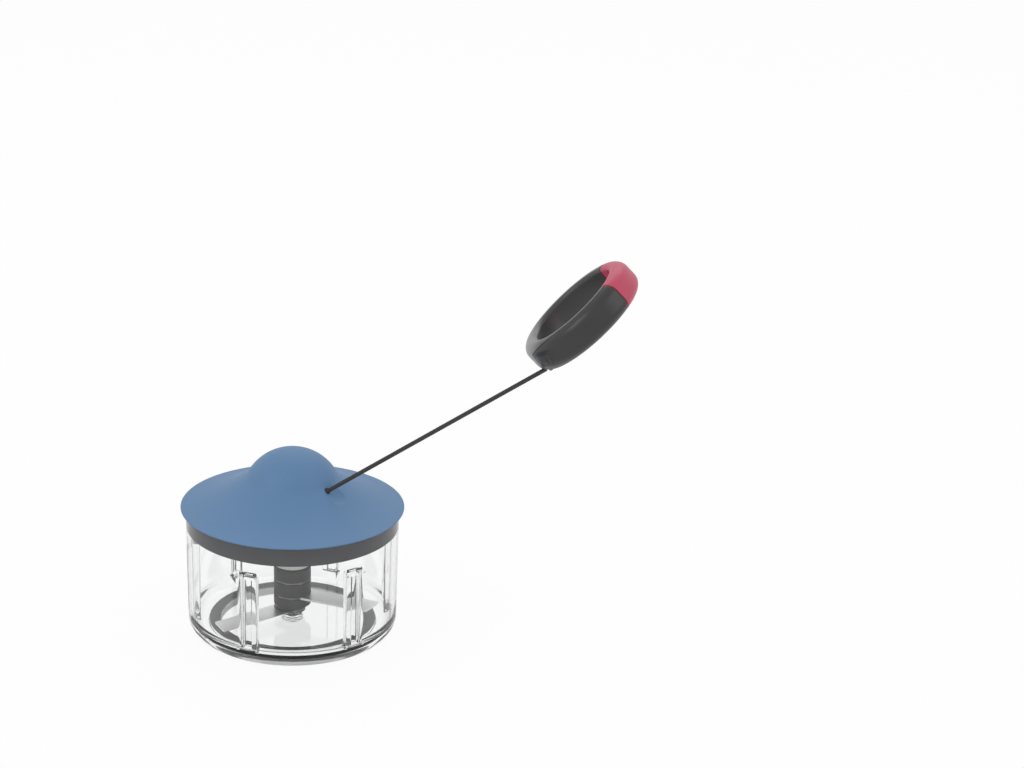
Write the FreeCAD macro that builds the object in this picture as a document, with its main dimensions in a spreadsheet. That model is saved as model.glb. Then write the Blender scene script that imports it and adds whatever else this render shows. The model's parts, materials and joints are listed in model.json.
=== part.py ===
"""Pull-cord food chopper: a clear ribbed bowl, a three-blade cutter on a steel spindle, a domed lid
with a cord reel and recoil spring inside, and a ring handle on the end of the drawn cord.

Millimetres, +Z up. The origin is on the cutter's axis, in the plane that the foot stands on.
+X points from the bowl towards the drawn handle.
"""
import FreeCAD, Part
import math
import os
import re

import Sketcher
from FreeCAD import Placement, Rotation, Vector

doc = FreeCAD.newDocument("pull_cord_chopper")

# ---------------------------------------------------------------- driving dimensions
SIZES = {
    "cut_over": 1.0,                # how far a cutting tool reaches past the solid
    # clear bowl
    "bowl_radius": 59.7,            # outer radius at the mouth
    "bowl_draft": 0.8,              # how much narrower the wall is just above the bottom corner
    "bowl_height": 73.6,
    "bowl_wall": 2.2,
    "corner_radius": 8.9,           # outer round of the bottom corner
    "inner_corner": 6.4,
    "skirt_lift": 0.6,              # the rim under the bowl stands this far above the table
    "skirt_wall": 2.6,
    "floor_underside": 5.2,
    "floor_thickness": 2.3,
    "boss_radius": 5.4,
    "boss_height": 2.6,             # above the floor
    "boss_depth": 2.0,              # below the floor's underside
    # ribs pressed into the bowl's wall
    "rib_count": 6,
    "rib_azimuth": -54.5,
    "rib_width": 9.0,
    "rib_reach": 4.6,               # how far a rib stands in from the wall
    "rib_clearance": 7.1,           # from the ribs' top up to the lid's collar
    "rib_nose": 1.8,
    "rib_sink": 0.5,                # how far a rib reaches into the floor
    "rib_groove_depth": 3.0,        # of the channel that backs each rib, from the outer wall
    "rib_groove_margin": 2.2,       # wall left beside, over and under that channel
    # foot ring
    "foot_width": 5.0,
    "foot_flange": 1.4,
    "foot_flange_height": 2.4,
    "seat_gap": 0.2,                # between a soft ring and its seat
    # spindle and cutter
    "spindle_radius": 2.5,
    "spindle_sink": 3.6,
    "running_gap": 0.06,            # radial, between a shaft and its bearing
    "float_gap": 0.1,               # axial, between turning faces
    "washer_radius": 5.2,
    "washer_thickness": 0.8,
    "core_radius": 5.2,
    "core_flange": 0.7,
    "core_roof": 2.2,               # over the spindle's bore
    "waist_radius": 7.4,
    "hub_radius": 10.5,
    "blade_thickness": 1.2,
    "blade_width": 13.6,
    "blade_gap": 2.1,               # from the blades' tips to the ribs
    "blade_grind": 3.0,             # width of the ground edge
    "blade_edge": 0.25,             # thickness left at the cutting edge
    "blade_skew": 10.6,             # angle of the tip's cut
    "eye_inset_low": 0.3,           # how far the lowest blade's eye lies inside the waist
    "eye_inset": 0.8,               # and the other eyes inside the hub
    "blade_azimuth": -144.7,        # of the lowest blade
    "blade_step": 120.0,
    "waist_height": 2.4,            # between the lowest blade and the hub's foot
    "ring_lower_height": 5.4,
    "ring_upper_height": 7.8,
    "socket_height": 7.5,
    "hub_chamfer": 0.6,
    "drive_flats": 9.0,             # across the flats of the hexagon that drives the cutter
    "drive_depth": 6.5,             # how far the shaft's hexagon reaches into the hub
    "drive_gap": 0.2,
    # lid
    "brim_overhang": 2.8,           # how far the lid stands out beyond the bowl
    "brim_gap": 0.3,                # from the bowl's mouth up to the brim
    "brim_edge": 0.7,               # thickness of the brim at its edge
    "brim_curve": 87.0,             # radius of the hollow curve from brim to dome
    "dome_foot_radius": 25.8,
    "brim_climb": 16.9,             # from the brim's edge up to the dome's foot
    "dome_rise": 16.0,              # from its foot to its top
    "dome_foot_wall": 1.9,          # wall at the dome's foot, across the axis
    "blend_radius": 8.0,            # of the hollow blend between dome and brim
    "blend_inward": 0.7,            # from the dome's foot to where the blend starts and ends
    "blend_outward": 1.25,
    "lid_wall": 2.2,
    "boss_hole_depth": 9.0,
    "axle_boss_radius": 5.0,
    "axle_roof": 3.8,               # over the axle's hole, to the dome's inside
    "collar_gap": 0.5,
    "collar_wall": 2.0,
    "collar_depth": 11.5,           # below the bowl's mouth
    "base_plate": 2.0,
    "seal_height": 2.2,
    "seal_depth": 1.0,
    "seal_proud": 0.1,
    "seal_drop": 2.4,               # from the flange down to the seal
    "screw_count": 3,
    "tower_gap": 3.8,               # from the screw towers to the collar
    "screw_azimuth": 30.0,
    "screw_radius": 1.5,
    "screw_length": 8.0,            # of the part that bites in the tower
    "screw_head": 3.0,
    "screw_head_height": 1.4,
    "tower_radius": 4.2,
    "tower_hole": 9.0,
    # drive
    "bush_radius": 8.0,             # outside, where the spring's inner end is hooked
    "bush_wall": 1.8,
    "bush_boss": 3.0,               # wall of the boss that holds the bush
    "bush_boss_height": 2.4,
    "sleeve_radius": 10.4,
    "sleeve_gap": 0.4,              # between the turning sleeve and the hub or the lid's plate
    "shaft_flats": 9.6,
    "reel_gap": 0.5,                # from the bush's boss up to the spring cover
    "cover_thickness": 1.2,
    "cover_gap": 0.4,
    "cup_wall": 1.4,
    "cup_gap": 0.7,                 # round the recoil spring
    "cup_depth": 7.8,
    "reel_flange": 1.5,
    "drum_radius": 13.65,
    "drum_height": 8.5,
    "drum_flange_reach": 3.35,      # how far the flange stands out beyond the drum
    "axle_radius": 2.0,
    "axle_clearance": 3.0,          # from the spring cup's roof up to the axle's foot
    "spring_thickness": 0.6,
    "spring_height": 6.0,
    "spring_half_pitch": 1.3,       # how much wider each half turn is than the one before
    "spring_arc_count": 9,          # half turns
    # cord
    "cord_diameter": 2.7,
    "cord_left": 6.3,               # length still outside when the handle is stowed
    "eyelet_azimuth": -48.4,
    "eyelet_outside": 0.9,          # from the dome's foot out to the middle of the outlet
    "eyelet_bore": 1.6,
    "eyelet_wall": 0.6,
    "eyelet_flange": 2.45,
    "eyelet_lift": 0.4,             # thickness of the flange, along the cord
    "eyelet_depth": 5.0,
    "cord_sink": 4.6,               # how far the drawn cord reaches into the eyelet
    "winding_gap": 0.3,
    "end_gap": 0.3,                 # between cord pieces on different bodies
    "lead_start": 7.0,              # where the inner cord is clear of the winding
    # ring handle, in its own frame: centre, X away from the bowl, Z along the ring's axis
    "ring_x": 153.5,
    "ring_y": -21.8,
    "ring_z": 191.8,
    "ring_tilt": 44.7,
    "ring_yaw": -6.8,
    "ring_outer": 35.2,
    "ring_wall": 8.8,
    "ring_height": 17.8,
    "ring_round_outer": 6.0,
    "ring_round_inner": 2.4,
    "grip_depth": 4.0,
    "grip_proud": 0.3,
    "grip_gap_angle": 30.0,         # half the bare stretch between the grips, at the cord's end
    "grip_slope": 22.4,             # slope of the grips' upper edge
    "grip_start": 2.9,              # height of that edge at the cord's end
    "accent_angle": 80.0,
    "knot_radius": 2.3,
    "knot_gap": 0.2,
    "knot_angle": 22.0,
    "knot_height": -7.4,
    "channel_radius": 1.75,
    "tail_length": 4.0,             # the cord's free end beyond the knot
    "stow_swing": -180.0,           # the ring's swing about the upright as it is drawn in
}

sheet = doc.addObject("Spreadsheet::Sheet", "Sizes")
for row, (alias, number) in enumerate(SIZES.items(), start=1):
    sheet.set(f"A{row}", alias)
    sheet.set(f"B{row}", str(number))
    sheet.setAlias(f"B{row}", alias)
doc.recompute()


def bound(text):
    """An expression in which every size is read from the sheet."""
    return re.sub(r"[a-z_]+", lambda m: "Sizes." + m[0] if m[0] in SIZES else m[0], text)


def value(text):
    """The number that an expression has now."""
    return float(sheet.evalExpression(bound(text)))


# ---------------------------------------------------------------- levels worked out from the sizes
FLOOR = "(floor_underside + floor_thickness)"
BOSS_TOP = f"({FLOOR} + boss_height)"
CUTTER_FOOT = f"({BOSS_TOP} + washer_thickness + float_gap * 2)"
BLADE_1 = f"({CUTTER_FOOT} + core_flange)"
WAIST = f"({BLADE_1} + blade_thickness)"
RING_1 = f"({WAIST} + waist_height)"
BLADE_2 = f"({RING_1} + ring_lower_height)"
RING_2 = f"({BLADE_2} + blade_thickness)"
BLADE_3 = f"({RING_2} + ring_upper_height)"
SOCKET = f"({BLADE_3} + blade_thickness)"
HUB_TOP = f"({SOCKET} + socket_height)"
CORE_BORE_TOP = f"({SOCKET} - core_roof)"
SPINDLE_TOP = f"({CORE_BORE_TOP} - float_gap * 3)"
WALL_LOW = "(bowl_radius - bowl_draft)"
RIB_NOSE = f"({WALL_LOW} - bowl_wall - rib_reach)"
BLADE_REACH = f"({RIB_NOSE} - blade_gap)"
MOUTH_INNER = "(bowl_radius - bowl_wall)"
SKIRT = f"({WALL_LOW} - corner_radius)"
COLLAR_TOP = "(bowl_height + brim_gap)"
COLLAR = f"({MOUTH_INNER} - collar_gap)"
COLLAR_INNER = f"({COLLAR} - collar_wall)"
BASE_FOOT = "(bowl_height - collar_depth)"
BASE_TOP = f"({BASE_FOOT} + base_plate)"
RIB_TOP = f"({BASE_FOOT} - rib_clearance)"
LID_RADIUS = "(bowl_radius + brim_overhang)"
BRIM_TOP = f"({COLLAR_TOP} + brim_edge)"
DOME_FOOT = f"({BRIM_TOP} + brim_climb)"
DOME_RADIUS = "((dome_foot_radius ^ 2 + dome_rise ^ 2) / (dome_rise * 2))"
DOME_CENTRE = f"({DOME_FOOT} + dome_rise - {DOME_RADIUS})"
DOME_INNER = f"({DOME_RADIUS} - lid_wall)"
AXLE_TOP = f"({DOME_CENTRE} + {DOME_INNER} - axle_roof)"
AXLE_BOSS_FOOT = f"({AXLE_TOP} - boss_hole_depth)"
SCREW_CIRCLE = f"({COLLAR_INNER} - tower_radius - tower_gap)"
BUSH_INNER = "(bush_radius - bush_wall)"
JOURNAL = f"({BUSH_INNER} - running_gap)"
REEL_FOOT = f"({BASE_TOP} + bush_boss_height + reel_gap)"
CUP_FOOT = f"({REEL_FOOT} + cover_thickness)"
CUP_INNER = "(bush_radius + spring_half_pitch * spring_arc_count + spring_thickness + cup_gap)"
CUP_RADIUS = f"({CUP_INNER} + cup_wall)"
CUP_ROOF = f"({CUP_FOOT} + cup_depth)"
DRUM_FOOT = f"({CUP_ROOF} + reel_flange)"
DRUM_TOP = f"({DRUM_FOOT} + drum_height)"
AXLE_FOOT = f"({CUP_ROOF} + axle_clearance)"
SLEEVE_FOOT = f"({HUB_TOP} + sleeve_gap)"
SLEEVE_TOP = f"({BASE_FOOT} - sleeve_gap)"
CORD = "(cord_diameter / 2)"
TAIL_START = "(knot_radius + end_gap)"
WIND = f"(drum_radius + {CORD})"
DRUM_FLANGE = "(drum_radius + drum_flange_reach)"
EYELET_RADIUS = "(dome_foot_radius + eyelet_outside)"
WIND_HEIGHT = f"({DRUM_FOOT} + {CORD} + winding_gap)"
BRIM_CHORD = f"sqrt(({LID_RADIUS} - dome_foot_radius) ^ 2 + brim_climb ^ 2)"
BRIM_SAG = f"sqrt(brim_curve ^ 2 - {BRIM_CHORD} ^ 2 / 4)"
BRIM_CENTRE_R = (f"(({LID_RADIUS} + dome_foot_radius) / 2"
                 f" + {BRIM_SAG} * brim_climb / {BRIM_CHORD})")
BRIM_CENTRE_Z = (f"({BRIM_TOP} + brim_climb / 2"
                 f" + {BRIM_SAG} * ({LID_RADIUS} - dome_foot_radius) / {BRIM_CHORD})")


def brim_height(radius):
    """Height of the lid's outer face at a radius between the dome and the brim."""
    return f"({BRIM_CENTRE_Z} - sqrt(brim_curve ^ 2 - ({radius} - {BRIM_CENTRE_R}) ^ 2))"


# ---------------------------------------------------------------- ways to make a piece
def draw(sketch, corners, arcs=None):
    """Close an outline through corners. arcs maps an edge's number to (radius, turns left)."""
    arcs = arcs or {}
    spots = [Vector(value(x), value(y), 0) for x, y in corners]
    ends = []
    for edge, (start, stop) in enumerate(zip(spots, spots[1:] + spots[:1])):
        if edge not in arcs:
            sketch.addGeometry(Part.LineSegment(start, stop), False)
            ends.append((1, 2))
            continue
        radius, left = value(arcs[edge][0]), arcs[edge][1]
        chord = stop - start
        side = Vector(-chord.y, chord.x, 0).normalize() * (1 if left else -1)
        centre = (start + stop) / 2 + side * math.sqrt(radius ** 2 - chord.Length ** 2 / 4)
        first, last = (start, stop) if left else (stop, start)
        angles = [math.atan2(p.y - centre.y, p.x - centre.x) for p in (first, last)]
        circle = Part.Circle(centre, Vector(0, 0, 1), radius)
        sketch.addGeometry(Part.ArcOfCircle(circle, angles[0], angles[1]), False)
        ends.append((1, 2) if left else (2, 1))
    constraint = Sketcher.Constraint
    for edge in range(len(corners)):
        following = (edge + 1) % len(corners)
        sketch.addConstraint(constraint("Coincident", edge, ends[edge][1], following, ends[following][0]))
    for edge, (x, y) in enumerate(corners):
        for axis, kind, text in ((0, "DistanceX", x), (1, "DistanceY", y)):
            number = sketch.addConstraint(constraint(kind, -1, 1, edge, ends[edge][0], spots[edge][axis]))
            sketch.setExpression(f"Constraints[{number}]", bound(text))
    for edge, (radius, left) in arcs.items():
        number = sketch.addConstraint(constraint("Radius", edge, value(radius)))
        sketch.setExpression(f"Constraints[{number}]", bound(radius))


def sketch_on(body, name, plane, lift="0"):
    """An empty sketch on one of the body's own planes, lifted along that plane's normal."""
    sketch = body.newObject("Sketcher::SketchObject", name)
    face = next(feature for feature in body.Origin.OriginFeatures if feature.Role == plane)
    sketch.AttachmentSupport = (face, "")
    sketch.MapMode = "FlatFace"
    sketch.setExpression("AttachmentOffset.Base.z", bound(lift))
    return sketch


def new_body(label):
    body = doc.addObject("PartDesign::Body", label)
    body.Label = label
    return body


def turned(label, corners, arcs=None):
    """A body of revolution about Z. Corners are (radius, height)."""
    body = new_body(label)
    sketch = sketch_on(body, label + "_profile", "XZ_Plane")
    draw(sketch, corners, arcs)
    turn = body.newObject("PartDesign::Revolution", label + "_turn")
    turn.Profile = sketch
    turn.ReferenceAxis = (sketch, ["V_Axis"])
    turn.Angle = 360
    sketch.Visibility = False
    return body


def add_pad(body, name, corners, low, high, arcs=None, plane="XY_Plane"):
    """Add a prism between two heights along the plane's normal."""
    sketch = sketch_on(body, name + "_outline", plane, low)
    draw(sketch, corners, arcs)
    pad = body.newObject("PartDesign::Pad", name)
    pad.Profile = sketch
    pad.setExpression("Length", bound(f"({high}) - ({low})"))
    return pad


def add_pocket(body, name, corners, low, high, arcs=None, plane="XY_Plane"):
    """Cut a prism between two heights along the plane's normal, and make sure that it cuts."""
    before = solid_volume(body)
    sketch = sketch_on(body, name + "_outline", plane, low)
    draw(sketch, corners, arcs)
    pocket = body.newObject("PartDesign::Pocket", name)
    pocket.Profile = sketch
    pocket.setExpression("Length", bound(f"({high}) - ({low})"))
    pocket.Reversed = True
    if solid_volume(body) > before - 0.01:
        raise RuntimeError(name + " cuts nothing")
    return pocket


def add_hole(body, name, radius, low, high):
    """Cut a round hole along Z between two heights."""
    before = solid_volume(body)
    sketch = sketch_on(body, name + "_outline", "XY_Plane", low)
    sketch.addGeometry(Part.Circle(Vector(0, 0, 0), Vector(0, 0, 1), value(radius)), False)
    sketch.addConstraint(Sketcher.Constraint("Coincident", 0, 3, -1, 1))
    number = sketch.addConstraint(Sketcher.Constraint("Radius", 0, value(radius)))
    sketch.setExpression(f"Constraints[{number}]", bound(radius))
    pocket = body.newObject("PartDesign::Pocket", name)
    pocket.Profile = sketch
    pocket.setExpression("Length", bound(f"({high}) - ({low})"))
    pocket.Reversed = True
    if solid_volume(body) > before - 0.01:
        raise RuntimeError(name + " cuts nothing")
    return pocket


def solid_volume(body):
    doc.recompute()
    return body.Shape.Volume


def repeat(body, feature, count):
    """Repeat a feature round Z."""
    pattern = body.newObject("PartDesign::PolarPattern", feature.Name + "_round")
    pattern.Originals = [feature]
    pattern.Axis = (feature.Profile[0], ["N_Axis"])
    pattern.Angle = 360
    pattern.setExpression("Occurrences", bound(count))
    body.Tip = pattern
    return pattern


def hexagon(flats):
    """Corners of a hexagon round the origin, from its size across the flats."""
    half, corner = f"({flats} / 2)", f"({flats} / sqrt(3))"
    return [(corner, "0"), (f"{corner} / 2", half), (f"-{corner} / 2", half),
            (f"-{corner}", "0"), (f"-{corner} / 2", f"-{half}"), (f"{corner} / 2", f"-{half}")]


def cylinder(name, radius, height, base="0"):
    tube = doc.addObject("Part::Cylinder", name)
    tube.setExpression("Radius", bound(radius))
    tube.setExpression("Height", bound(height))
    tube.Placement.Base.z = value(base)
    return tube


def boolean(kind, label, first, others):
    """A Part boolean of one object with others."""
    if kind == "Cut":
        tool = others[0]
        if len(others) > 1:
            tool = doc.addObject("Part::MultiFuse", label + "_tools")
            tool.Shapes = others
        result = doc.addObject("Part::Cut", label)
        result.Base, result.Tool = first, tool
    else:
        result = doc.addObject("Part::" + kind, label)
        result.Shapes = [first] + others
    result.Label = label
    return result


def turn_about_z(piece, azimuth, height="0"):
    piece.Placement = Placement(Vector(0, 0, value(height)), Rotation(Vector(0, 0, 1), value(azimuth)))


# ---------------------------------------------------------------- bowl, foot and spindle
def make_bowl():
    """A clear bowl with a rounded bottom corner, six pressed ribs and a boss for the spindle."""
    skirt_inner = f"({SKIRT} - skirt_wall)"
    bowl = turned(
        "bowl",
        [("0", "floor_underside - boss_depth"), ("boss_radius", "floor_underside - boss_depth"),
         ("boss_radius", "floor_underside"), (skirt_inner, "floor_underside"),
         (skirt_inner, "skirt_lift"), (SKIRT, "skirt_lift"),
         (WALL_LOW, "skirt_lift + corner_radius"), ("bowl_radius", "bowl_height"),
         (MOUTH_INNER, "bowl_height"),
         (f"{WALL_LOW} - bowl_wall", f"{FLOOR} + inner_corner"),
         (f"{WALL_LOW} - bowl_wall - inner_corner", FLOOR), ("boss_radius", FLOOR),
         ("boss_radius", BOSS_TOP), ("0", BOSS_TOP)],
        {5: ("corner_radius", True), 9: ("inner_corner", False)})
    rib = add_pad(
        bowl, "rib",
        [(f"{WALL_LOW} - bowl_wall / 2", "-rib_width / 2"), (f"{WALL_LOW} - bowl_wall / 2", "rib_width / 2"),
         (f"{RIB_NOSE} + rib_nose", "rib_width / 2"), (RIB_NOSE, "rib_width / 2 - rib_nose"),
         (RIB_NOSE, "-rib_width / 2 + rib_nose"), (f"{RIB_NOSE} + rib_nose", "-rib_width / 2")],
        f"{FLOOR} - rib_sink", RIB_TOP, {2: ("rib_nose", True), 4: ("rib_nose", True)})
    repeat(bowl, rib, "rib_count")
    groove_side = "(rib_width / 2 - rib_groove_margin)"
    groove = add_pocket(
        bowl, "rib_groove",
        [(f"{WALL_LOW} - rib_groove_depth", f"-{groove_side}"), ("bowl_radius + cut_over", f"-{groove_side}"),
         ("bowl_radius + cut_over", groove_side), (f"{WALL_LOW} - rib_groove_depth", groove_side)],
        "skirt_lift + corner_radius + rib_groove_margin", f"{RIB_TOP} - rib_groove_margin")
    repeat(bowl, groove, "rib_count")
    add_hole(bowl, "spindle_hole", "spindle_radius", f"{BOSS_TOP} - spindle_sink", BOSS_TOP)
    turn_about_z(bowl, "rib_azimuth")
    return bowl


def make_foot_ring():
    """A soft ring under the floor that stops the bowl sliding."""
    outer = f"({SKIRT} - skirt_wall - seat_gap)"
    lip = f"({outer} - foot_flange)"
    return turned("foot_ring", [
        (f"{lip} - foot_width", "0"), (lip, "0"), (lip, "floor_underside - foot_flange_height"),
        (outer, "floor_underside - foot_flange_height"), (outer, "floor_underside"),
        (f"{lip} - foot_width", "floor_underside")])


def make_spindle():
    """The steel pin pressed into the bowl's boss, with a domed top."""
    return turned("spindle_pin", [
        ("0", f"{BOSS_TOP} - spindle_sink"), ("spindle_radius", f"{BOSS_TOP} - spindle_sink"),
        ("spindle_radius", f"{SPINDLE_TOP} - spindle_radius / 2"), ("spindle_radius / 2", SPINDLE_TOP),
        ("0", SPINDLE_TOP)],
        {2: ("spindle_radius / 2", True)})


# ---------------------------------------------------------------- cutter
def make_washer():
    return turned("thrust_washer", [
        ("spindle_radius + running_gap", f"{BOSS_TOP} + float_gap"),
        ("washer_radius", f"{BOSS_TOP} + float_gap"),
        ("washer_radius", f"{BOSS_TOP} + float_gap + washer_thickness"),
        ("spindle_radius + running_gap", f"{BOSS_TOP} + float_gap + washer_thickness")])


def make_core():
    """The flanged tube on the spindle that the blades and rings are stacked on."""
    bore = "(spindle_radius + running_gap)"
    return turned("hub_core", [
        (bore, CUTTER_FOOT), ("waist_radius", CUTTER_FOOT), ("waist_radius", BLADE_1),
        ("core_radius", BLADE_1), ("core_radius", SOCKET), ("0", SOCKET), ("0", CORE_BORE_TOP),
        (bore, CORE_BORE_TOP)])


def make_spacer(label, radius, low, high):
    return turned(label, [("core_radius", low), (radius, low), (radius, high), ("core_radius", high)])


def make_socket():
    """The top of the hub, with the hexagonal socket that the lid's shaft drives."""
    socket = turned("hub_socket", [
        ("0", SOCKET), ("hub_radius", SOCKET), ("hub_radius", f"{HUB_TOP} - hub_chamfer"),
        ("hub_radius - hub_chamfer", HUB_TOP), ("0", HUB_TOP)])
    add_pocket(socket, "drive_recess", hexagon("(drive_flats + drive_gap * 2)"),
               f"{HUB_TOP} - drive_depth - drive_gap", HUB_TOP)
    return socket


def make_blade(label, eye, low, turn):
    """A flat steel blade with an eye round the hub's core, one ground edge and a skewed tip."""
    blade = new_body(label)
    add_pad(
        blade, label + "_arm",
        [("-blade_width / 2", "0"), ("blade_width / 2 - blade_grind", "0"),
         ("blade_width / 2", "blade_thickness - blade_edge"), ("blade_width / 2", "blade_thickness"),
         ("-blade_width / 2", "blade_thickness")],
        "0", BLADE_REACH, plane="YZ_Plane")
    add_pad(blade, label + "_eye", octagon(eye), "0", "blade_thickness")
    add_hole(blade, label + "_bore", "core_radius", "0", "blade_thickness")
    corner = "(blade_width / 2)"
    add_pocket(
        blade, label + "_tip",
        [(f"{BLADE_REACH} - blade_width * tan(blade_skew)", f"-{corner}"),
         (f"{BLADE_REACH} + cut_over", f"-{corner}"), (f"{BLADE_REACH} + cut_over", corner),
         (BLADE_REACH, corner)],
        "0", "blade_thickness")
    turn_about_z(blade, f"(blade_azimuth + blade_step * {turn})", low)
    return blade


def octagon(radius):
    """Corners of an octagon whose flats lie at a radius."""
    side = f"({radius} * tan(22.5))"
    pairs = [(radius, side), (side, radius), (f"-{side}", radius), (f"-{radius}", side),
             (f"-{radius}", f"-{side}"), (f"-{side}", f"-{radius}"), (side, f"-{radius}"),
             (radius, f"-{side}")]
    return pairs


make_bowl()
make_foot_ring()
make_spindle()
make_washer()
make_core()
make_blade("blade_lower", "(waist_radius - eye_inset_low)", BLADE_1, 0)
make_spacer("hub_waist", "waist_radius", WAIST, RING_1)
make_spacer("hub_ring_lower", "hub_radius", RING_1, BLADE_2)
make_blade("blade_middle", "(hub_radius - eye_inset)", BLADE_2, 1)
make_spacer("hub_ring_upper", "hub_radius", RING_2, BLADE_3)
make_blade("blade_upper", "(hub_radius - eye_inset)", BLADE_3, 2)
make_socket()


# ---------------------------------------------------------------- where the cord runs
def polar(radius, azimuth, height):
    angle = math.radians(azimuth)
    return Vector(radius * math.cos(angle), radius * math.sin(angle), height)


ring_turn = (Rotation(Vector(0, 0, 1), value("ring_yaw"))
             * Rotation(Vector(0, 1, 0), -value("ring_tilt")))
ring_centre = Vector(value("ring_x"), value("ring_y"), value("ring_z"))
ring_mid = value("ring_outer - ring_wall / 2")
knot_local = polar(ring_mid, 180 + value("knot_angle"), value("knot_height"))
knot = ring_centre + ring_turn.multVec(knot_local)
outlet = polar(value(EYELET_RADIUS), value("eyelet_azimuth"), value(brim_height(EYELET_RADIUS)))
drawn = (knot - outlet).Length
pull = (knot - outlet).normalize()
along_pull = Rotation(Vector(0, 0, 1), pull)
knot_stowed = outlet + pull * value("cord_left")
stowed_turn = Rotation(Vector(0, 0, 1), math.degrees(math.atan2(knot_stowed.y, knot_stowed.x))
                       - 180 - value("knot_angle"))
inner_mouth = outlet - pull * value("eyelet_depth")

# drawn in, the ring swings about the upright and turns about its tail's line, both at the knot
ring_swing = Rotation(Vector(0, 0, 1), value("stow_swing"))
ring_twist = ring_swing.inverted() * stowed_turn * ring_turn.inverted()
upward = 1 if ring_turn.inverted().multVec(ring_twist.Axis).z > 0 else -1
tail_way = ring_twist.Axis * upward
twist_angle = math.degrees(ring_twist.Angle) * upward
print("cord outside", round(drawn, 3), "of which stays out", value("cord_left"))
print("knot", [round(v, 3) for v in knot], "pull", [round(v, 6) for v in pull])
print("tail's line", [round(v, 6) for v in tail_way], "ring's twist", round(twist_angle, 4))


# ---------------------------------------------------------------- lid
def make_lid_cover():
    """The blue cover: a hollow-curved brim, a dome, a boss for the axle and three screw towers."""
    foot_inner = "(dome_foot_radius - dome_foot_wall)"
    blend_in = "(dome_foot_radius - blend_inward)"
    blend_out = "(dome_foot_radius + blend_outward)"
    boss_top = f"({DOME_CENTRE} + sqrt({DOME_INNER} ^ 2 - axle_boss_radius ^ 2))"
    shell = turned(
        "lid_shell",
        [("0", f"{DOME_FOOT} + dome_rise"),
         (blend_in, f"{DOME_CENTRE} + sqrt({DOME_RADIUS} ^ 2 - {blend_in} ^ 2)"),
         (blend_out, brim_height(blend_out)), (LID_RADIUS, BRIM_TOP),
         (LID_RADIUS, COLLAR_TOP), (COLLAR_INNER, COLLAR_TOP),
         (foot_inner, f"{DOME_CENTRE} + sqrt({DOME_INNER} ^ 2 - {foot_inner} ^ 2)"),
         ("axle_boss_radius", boss_top), ("axle_boss_radius", AXLE_BOSS_FOOT),
         ("axle_radius", AXLE_BOSS_FOOT), ("axle_radius", AXLE_TOP), ("0", AXLE_TOP)],
        {0: (DOME_RADIUS, False), 1: ("blend_radius", True), 2: ("brim_curve", True),
         5: ("brim_curve + lid_wall", False), 6: (DOME_INNER, True)})
    tower_height = f"{DOME_FOOT} - {BASE_TOP}"
    tall = doc.addObject("Part::MultiFuse", "tall_towers")
    tall.Shapes = [
        on_screw_circle(cylinder(f"tower_{i}", "tower_radius", tower_height, BASE_TOP), i)
        for i in range(int(value("screw_count")))]
    near = f"({SCREW_CIRCLE} - tower_radius - cut_over)"
    far = f"({SCREW_CIRCLE} + tower_radius + cut_over)"
    above = turned(
        "above_towers",
        [(near, f"{brim_height(near)} - lid_wall / 2"), (far, f"{brim_height(far)} - lid_wall / 2"),
         (far, f"{DOME_FOOT} + lid_wall"), (near, f"{DOME_FOOT} + lid_wall")],
        {0: ("brim_curve", True)})
    towers = boolean("Cut", "screw_towers", tall, [above])
    solid = boolean("MultiFuse", "lid_solid", shell, [towers])
    holes = [on_screw_circle(cylinder(f"tower_hole_{i}", "screw_radius", "tower_hole", BASE_TOP), i)
             for i in range(int(value("screw_count")))]
    barrel = cylinder("outlet_hole", "(eyelet_bore + eyelet_wall)", "eyelet_depth * 2")
    barrel.Placement = Placement(outlet - pull * value("eyelet_depth"), along_pull)
    spot_face = cylinder("outlet_face", "eyelet_flange", "eyelet_depth")
    spot_face.Placement = Placement(outlet, along_pull)
    return boolean("Cut", "lid_cover", solid, holes + [barrel, spot_face])


def on_screw_circle(piece, number):
    azimuth = value("screw_azimuth") + 360 * number / value("screw_count")
    spot = polar(value(SCREW_CIRCLE), azimuth, piece.Placement.Base.z)
    piece.Placement = Placement(spot, Rotation())
    return piece


def make_lid_base():
    """The grey plate and collar that close the lid from below and plug the bowl's mouth."""
    seal_top = "(bowl_height - seal_drop)"
    groove = f"({COLLAR} - seal_depth)"
    boss = "(bush_radius + bush_boss)"
    plate = turned("lid_plate", [
        ("bush_radius", BASE_FOOT), (COLLAR, BASE_FOOT), (COLLAR, f"{seal_top} - seal_height"),
        (groove, f"{seal_top} - seal_height"), (groove, seal_top), (COLLAR, seal_top),
        (COLLAR, COLLAR_TOP), (COLLAR_INNER, COLLAR_TOP), (COLLAR_INNER, BASE_TOP), (boss, BASE_TOP),
        (boss, f"{BASE_TOP} + bush_boss_height"), ("bush_radius", f"{BASE_TOP} + bush_boss_height")])
    holes = []
    for i in range(int(value("screw_count"))):
        holes.append(on_screw_circle(cylinder(f"plate_hole_{i}", "screw_radius", "base_plate", BASE_FOOT), i))
        holes.append(on_screw_circle(
            cylinder(f"head_recess_{i}", "screw_head", "screw_head_height", BASE_FOOT), i))
    return boolean("Cut", "lid_base", plate, holes)


def make_lid_seal():
    """The soft ring in the collar's groove, with a rounded outer face."""
    top = "(bowl_height - seal_drop)"
    inner, outer = f"({COLLAR} - seal_depth)", f"({COLLAR} + seal_proud)"
    return turned("lid_seal", [
        (inner, f"{top} - seal_height"), (f"{outer} - seal_depth / 2", f"{top} - seal_height"),
        (outer, f"{top} - seal_height + seal_depth / 2"), (outer, f"{top} - seal_depth / 2"),
        (f"{outer} - seal_depth / 2", top), (inner, top)],
        {1: ("seal_depth / 2", True), 3: ("seal_depth / 2", True)})


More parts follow.
